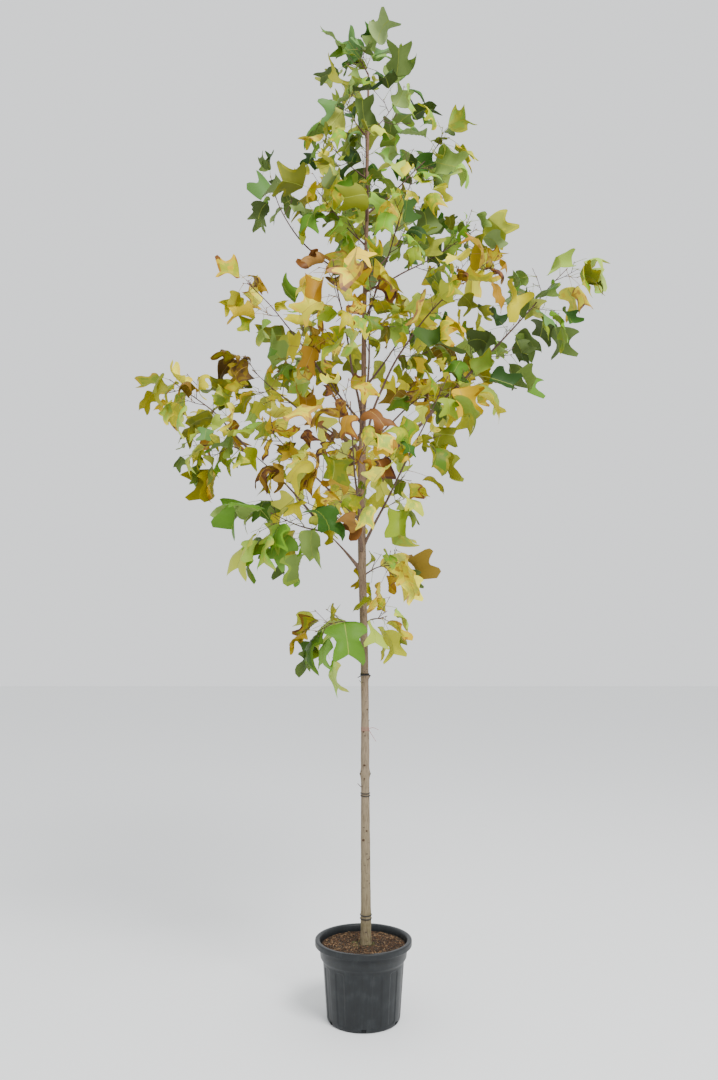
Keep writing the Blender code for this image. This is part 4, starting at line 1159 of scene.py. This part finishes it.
# ---------------------------------------------------------------- pot and soil
PANELS = 13                      # moulded hollows round the pot's wall
PANEL_WIDTH = math.radians(14.0)
PANEL_START = math.radians(-105.0)
PANEL_BOTTOM, PANEL_TOP = 0.020, 0.236
PANEL_CORNER = 0.012
PANEL_DEPTH = 2.4 * MM
PANEL_EDGE = 2.4 * MM            # width of the slope round a panel
NOTCH_SIDES = (-150.0, -90.0, -30.0, 30.0, 90.0, 150.0)
NOTCH_WIDTH, NOTCH_HEIGHT, NOTCH_INWARD = 0.022, 0.010, 0.015
FOOT_EDGE = 0.006                # the rounding of the foot, inside its chamfer
BAND_DRAFT = 0.006               # the band is so much narrower at its bottom
LIP_STEPS = 6
POT_STEPS = 360
WALL_STEPS = 78

SOIL_STEPS = 150
SOIL_RINGS = 46
SOIL_LUMPS = 2200
SOIL_GAP = 0.8 * MM              # air between the soil and the wall
SOIL_WAVES, SOIL_WAVE_HEIGHT = 26.0, 0.004
SOIL_MOUND, MOUND_REACH = 0.004, 0.05                  # heaped up round the stem
SOIL_RISE, SOIL_FALL = 0.002, 0.003                    # higher in the middle than at the wall
CHIP_LENGTHS, CHIP_WIDTHS, CHIP_HEIGHTS = (1.6, 7.5), (1.0, 3.2), (0.6, 1.8)       # half sizes, in mm
CHIP_TILT = 0.4
DRY_WAVES = 11.0                 # dry and damp patches of chips, waves a metre
DRY_CHIPS, DAMP_CHIPS, MOSSY_CHIP = (0, 1, 1, 2, 2), (0, 0, 0, 1, 1, 1, 2), 3
MOSS_REACH = 0.055               # half the chips are mossy so near the stem
CHIP_TINTS = (
    ("chip_dark", "261E18", "3C3029"), ("chip_brown", "48311F", "644834"),
    ("chip_tan", "70573E", "8E7254"), ("chip_mossy", "3C4226", "60663C"),
)


def lathe(outline, steps):
    """A profile of (radius, height) points turned once round the pot's axis, closed at its poles."""
    bm = bmesh.new()
    verts = [bm.verts.new((radius, 0.0, height)) for radius, height in outline]
    edges = [bm.edges.new(pair) for pair in zip(verts, verts[1:])]
    bmesh.ops.spin(
        bm, geom=verts + edges, cent=(0, 0, 0), axis=(0, 0, 1), angle=math.tau, steps=steps, use_merge=True
    )
    bmesh.ops.remove_doubles(bm, verts=bm.verts, dist=1e-5)
    bmesh.ops.recalc_face_normals(bm, faces=bm.faces)
    return bm


def mesh_from(bm, name, skin):
    """A bmesh made a smooth mesh of one material.  Frees the bmesh."""
    mesh = bpy.data.meshes.new(name)
    bm.to_mesh(mesh)
    bm.free()
    mesh.materials.append(skin)
    mesh.shade_smooth()
    return mesh


def steps_between(first, last, count):
    """Points on a straight run of the profile, without its last one."""
    return [
        (first[0] + (last[0] - first[0]) * index / count, first[1] + (last[1] - first[1]) * index / count)
        for index in range(count)
    ]


def quarter_round(radius, height, start):
    """A quarter circle of the lip's rounding about a point of the profile."""
    turns = [start + math.pi / 2.0 * step / LIP_STEPS for step in range(LIP_STEPS + 1)]
    return [(radius + LIP_ROUND * math.cos(turn), height + LIP_ROUND * math.sin(turn)) for turn in turns]


def panel_share(turn, height, radius):
    """How deep in a moulded panel a place on the wall lies, from 0 to 1."""
    pitch = math.tau / PANELS
    local = (turn - PANEL_START - PANEL_WIDTH / 2.0 + pitch / 2.0) % pitch - pitch / 2.0
    middle = (PANEL_TOP + PANEL_BOTTOM) / 2.0
    across = abs(local) * radius - PANEL_WIDTH / 2.0 * radius + PANEL_CORNER
    up = abs(height - middle) - (PANEL_TOP - PANEL_BOTTOM) / 2.0 + PANEL_CORNER
    edge = math.hypot(max(across, 0.0), max(up, 0.0)) + min(max(across, up), 0.0) - PANEL_CORNER
    return min(1.0, max(0.0, 0.5 - edge / PANEL_EDGE))


def pressed_in(turn, height, radius):
    """How far a place on the wall is pressed in by a panel or by a notch of the foot."""
    for side in NOTCH_SIDES:
        near = abs(apart(turn, math.radians(side))) * radius < NOTCH_WIDTH / 2.0
        if near and MM < height < NOTCH_HEIGHT + FOOT_EDGE:
            return NOTCH_INWARD
    return PANEL_DEPTH * panel_share(turn, height, radius)


def make_pot():
    """A nursery pot: rolled lip, plain band, and a wall of shallow moulded panels."""
    wall = [
        (POT_FOOT_RADIUS, FOOT_CHAMFER),
        (POT_SHOULDER_RADIUS, SHOULDER_BOTTOM),
        (POT_SHOULDER_RADIUS + 0.006, SHOULDER_BOTTOM + 0.008),
        (POT_BAND_RADIUS - BAND_DRAFT, BAND_BOTTOM),
        (POT_BAND_RADIUS, POT_HEIGHT - LIP_DEPTH),
    ]
    inside = [(radius - POT_WALL, height) for radius, height in wall]
    outline = [(0.0, 0.0), (POT_BASE_RADIUS, 0.0), (POT_BASE_RADIUS + FOOT_EDGE, 0.002)]
    outline += steps_between((POT_FOOT_RADIUS - 0.001, FOOT_CHAMFER - 0.004), wall[0], 3)
    outline += steps_between(wall[0], wall[1], WALL_STEPS) + wall[1:]
    lip_radius = POT_RIM_RADIUS - LIP_ROUND
    outline.append((lip_radius, POT_HEIGHT - LIP_DEPTH))
    outline += quarter_round(lip_radius, POT_HEIGHT - LIP_DEPTH + LIP_ROUND, -math.pi / 2.0)
    outline += quarter_round(lip_radius, POT_HEIGHT - LIP_ROUND, 0.0)
    outline += [(POT_BAND_RADIUS + LIP_ROUND, POT_HEIGHT), (POT_BAND_RADIUS, POT_HEIGHT - 0.0015)]
    outline += [(POT_BAND_RADIUS - POT_WALL, POT_HEIGHT - LIP_ROUND)] + inside[:0:-1]
    outline += [(POT_FOOT_RADIUS - POT_WALL, FOOT_CHAMFER + 0.004), (0.0, 0.004)]
    bm = lathe(outline, POT_STEPS)
    for vert in bm.verts:
        x, y, z = vert.co
        radius, turn = math.hypot(x, y), math.atan2(y, x)
        outer = radius > POT_FOOT_RADIUS - 0.0015 + max(0.0, z - FOOT_CHAMFER) * 0.05
        if outer and z <= SHOULDER_BOTTOM:
            inward = pressed_in(turn, z, radius)
            vert.co = (x * (1.0 - inward / radius), y * (1.0 - inward / radius), z)

    # injection moulded polypropylene, matt: near black, a wide soft sheen, pale dust and scuffs
    skin, place = surface("polypropylene_matt_moulded", "1B1E20", 0.42, 0.3)
    dust = add_node(skin, "TexNoise", {"Vector": place, "Scale": scale_of(45.0), "Detail": 6.0})
    upright = add_node(skin, "Mapping", {"Vector": place, "Scale": (1.0, 1.0, 0.06)})
    scuffs = add_node(skin, "TexNoise", {"Vector": upright, "Scale": scale_of(7.0), "Detail": 4.0})
    mixed = add_node(skin, "Math", {0: scuffs, 1: 0.45, 2: dust}, operation="MULTIPLY_ADD")
    stops = ((0.45, "17191B"), (0.75, "1C1F21"), (0.98, "292C2E"))
    feed(skin, "Base Color", add_node(skin, "ValToRGB", {"Fac": mixed}, stops))
    # the mould's fine grain, drawn coarse enough to show
    pebble = add_node(skin, "TexNoise", {"Vector": place, "Scale": scale_of(2.5), "Detail": 3.0})
    feed(skin, "Normal", add_node(skin, "Bump", {"Height": pebble, "Strength": 0.35, "Distance": 0.5 * MM}))
    add_piece("nursery_pot", mesh_from(bm, "nursery_pot", skin), ["pot"])


def soil_height(x, y):
    """Height of the crumbly soil at a place in the pot."""
    radius = math.hypot(x, y)
    lump = noise.fractal(Vector((x * SOIL_WAVES, y * SOIL_WAVES, 3.0)), 1.0, 2.0, 4)
    mound = SOIL_MOUND * math.exp(-(radius / MOUND_REACH) ** 2)
    fall = SOIL_FALL * (radius / POT_SHOULDER_RADIUS) ** 2
    return SOIL_TOP + SOIL_RISE - fall + mound + SOIL_WAVE_HEIGHT * lump


def make_soil():
    """Coarse bark soil: an uneven bed in the pot, under loose chips of bark."""
    wall = mix((
        (SHOULDER_BOTTOM, POT_SHOULDER_RADIUS), (BAND_BOTTOM, POT_BAND_RADIUS - BAND_DRAFT),
        (POT_HEIGHT, POT_BAND_RADIUS),
    ), SOIL_TOP) - POT_WALL - SOIL_GAP
    outline = steps_between((0.0, SOIL_TOP), (wall, SOIL_TOP), SOIL_RINGS) + [(wall, SOIL_TOP)]
    outline += [(wall - 0.004, BAND_BOTTOM), (POT_SHOULDER_RADIUS - POT_WALL - 0.001, SHOULDER_BOTTOM)]
    outline += [(POT_FOOT_RADIUS - POT_WALL - 0.001, FOOT_CHAMFER + 0.006), (0.0, FOOT_CHAMFER)]
    bm = lathe(outline, SOIL_STEPS)
    for vert in bm.verts:
        if vert.co.z > SOIL_TOP - 0.001:
            vert.co.z = soil_height(vert.co.x, vert.co.y)
    # damp peat and fine bark: dark, dull, crumbly
    stops = ((0.30, "1C1712"), (0.5, "372C22"), (0.66, "544636"), (0.8, "7C6A50"))
    soil, _, crumbs = clouded("bark_soil_damp", "352A20", 0.92, 0.2, 5.0, 8.0, stops)
    feed(soil, "Normal", add_node(soil, "Bump", {"Height": crumbs, "Strength": 0.9, "Distance": 3.0 * MM}))
    add_piece("bark_soil", mesh_from(bm, "bark_soil", soil), ["soil"])

    # chips of composted pine bark: dull, from damp dark ones to dry tan ones, mossy near the stem
    skins = [
        clouded("bark_" + name, dark, 0.9, 0.2, 3.0, 4.0, ((0.35, dark), (0.7, light)))[0]
        for name, dark, light in CHIP_TINTS
    ]
    points, faces = ball(1)
    rng = random.Random(77)
    chips = Heap()
    for _ in range(SOIL_LUMPS):
        radius = math.sqrt(rng.uniform(0.02, 1.0)) * (wall - 0.008)
        turn = rng.uniform(0.0, math.tau)
        x, y = radius * math.cos(turn), radius * math.sin(turn)
        size = np.array([rng.uniform(*sizes) for sizes in (CHIP_LENGTHS, CHIP_WIDTHS, CHIP_HEIGHTS)]) * MM
        tilt = Matrix.Rotation(rng.uniform(0.0, math.tau), 3, "Z")
        tilt = tilt @ Matrix.Rotation(rng.gauss(0.0, CHIP_TILT), 3, "Y")
        lump = lumpy(points, 0.35, rng) * size
        dry = noise.noise(Vector((x * DRY_WAVES, y * DRY_WAVES, 1.0))) > 0.0
        kind = rng.choice(DRY_CHIPS if dry else DAMP_CHIPS)
        if radius < MOSS_REACH and rng.random() < 0.5:
            kind = MOSSY_CHIP
        chips.add(lump @ np.array(tilt).T + (x, y, soil_height(x, y) + size[2] * 0.5), faces, kind)
    chips.make("bark_chips", skins, "bark_soil")


# ---------------------------------------------------------------- studio
FLOOR_HALF = 40.0
SKY_STRENGTH = 1.35
KEY_PLACE, KEY_AIM = Vector((3.0, -5.0, 8.0)), Vector((0.0, 0.0, 2.6))
KEY_SIZE = 3.0
KEY_POWER = 900.0
# the lens, worked out for a frame of 718 x 1080 whose long side is Blender's sensor
FRAME_HEIGHT = 1080
FOCAL_PIXELS = 835.6
SENSOR_HEIGHT = 36.0
CAMERA_PLACE = (-0.020, -3.948, 1.589)
CAMERA_PITCH = math.radians(90.0 + 7.847)


def make_stage():
    """A plain pale floor under an even white sky, with one broad soft light from the front."""
    bm = bmesh.new()
    bmesh.ops.create_grid(bm, x_segments=1, y_segments=1, size=FLOOR_HALF)
    # matt paint, near white
    paint, _ = surface("floor_pale", "F2F3F3", 0.8, 0.1)
    floor = bpy.data.objects.new("floor", mesh_from(bm, "floor", paint))
    bpy.context.scene.collection.objects.link(floor)

    world = bpy.data.worlds.new("studio")
    world.use_nodes = True
    background = world.node_tree.nodes["Background"]
    background.inputs["Color"].default_value = linear("F4F6F8")
    background.inputs["Strength"].default_value = SKY_STRENGTH
    bpy.context.scene.world = world
    light = bpy.data.lights.new("key", "AREA")
    light.energy = KEY_POWER
    light.size = KEY_SIZE
    lamp = bpy.data.objects.new("key", light)
    lamp.location = KEY_PLACE
    lamp.rotation_euler = (KEY_AIM - KEY_PLACE).to_track_quat("-Z", "Y").to_euler()
    bpy.context.scene.collection.objects.link(lamp)


def make_camera():
    camera = bpy.data.cameras.new("camera")
    camera.sensor_fit = "VERTICAL"
    camera.sensor_height = SENSOR_HEIGHT
    camera.lens = FOCAL_PIXELS / FRAME_HEIGHT * SENSOR_HEIGHT
    viewer = bpy.data.objects.new("camera", camera)
    viewer.location = CAMERA_PLACE
    viewer.rotation_euler = (CAMERA_PITCH, 0.0, 0.0)
    bpy.context.scene.collection.objects.link(viewer)
    bpy.context.scene.camera = viewer


paths, masses = plan_tree()
make_pot()
make_soil()
make_trunk()
make_scars()
make_ties()
make_thread()
make_wood(paths, masses)
make_leaves(masses)
make_stage()
make_camera()
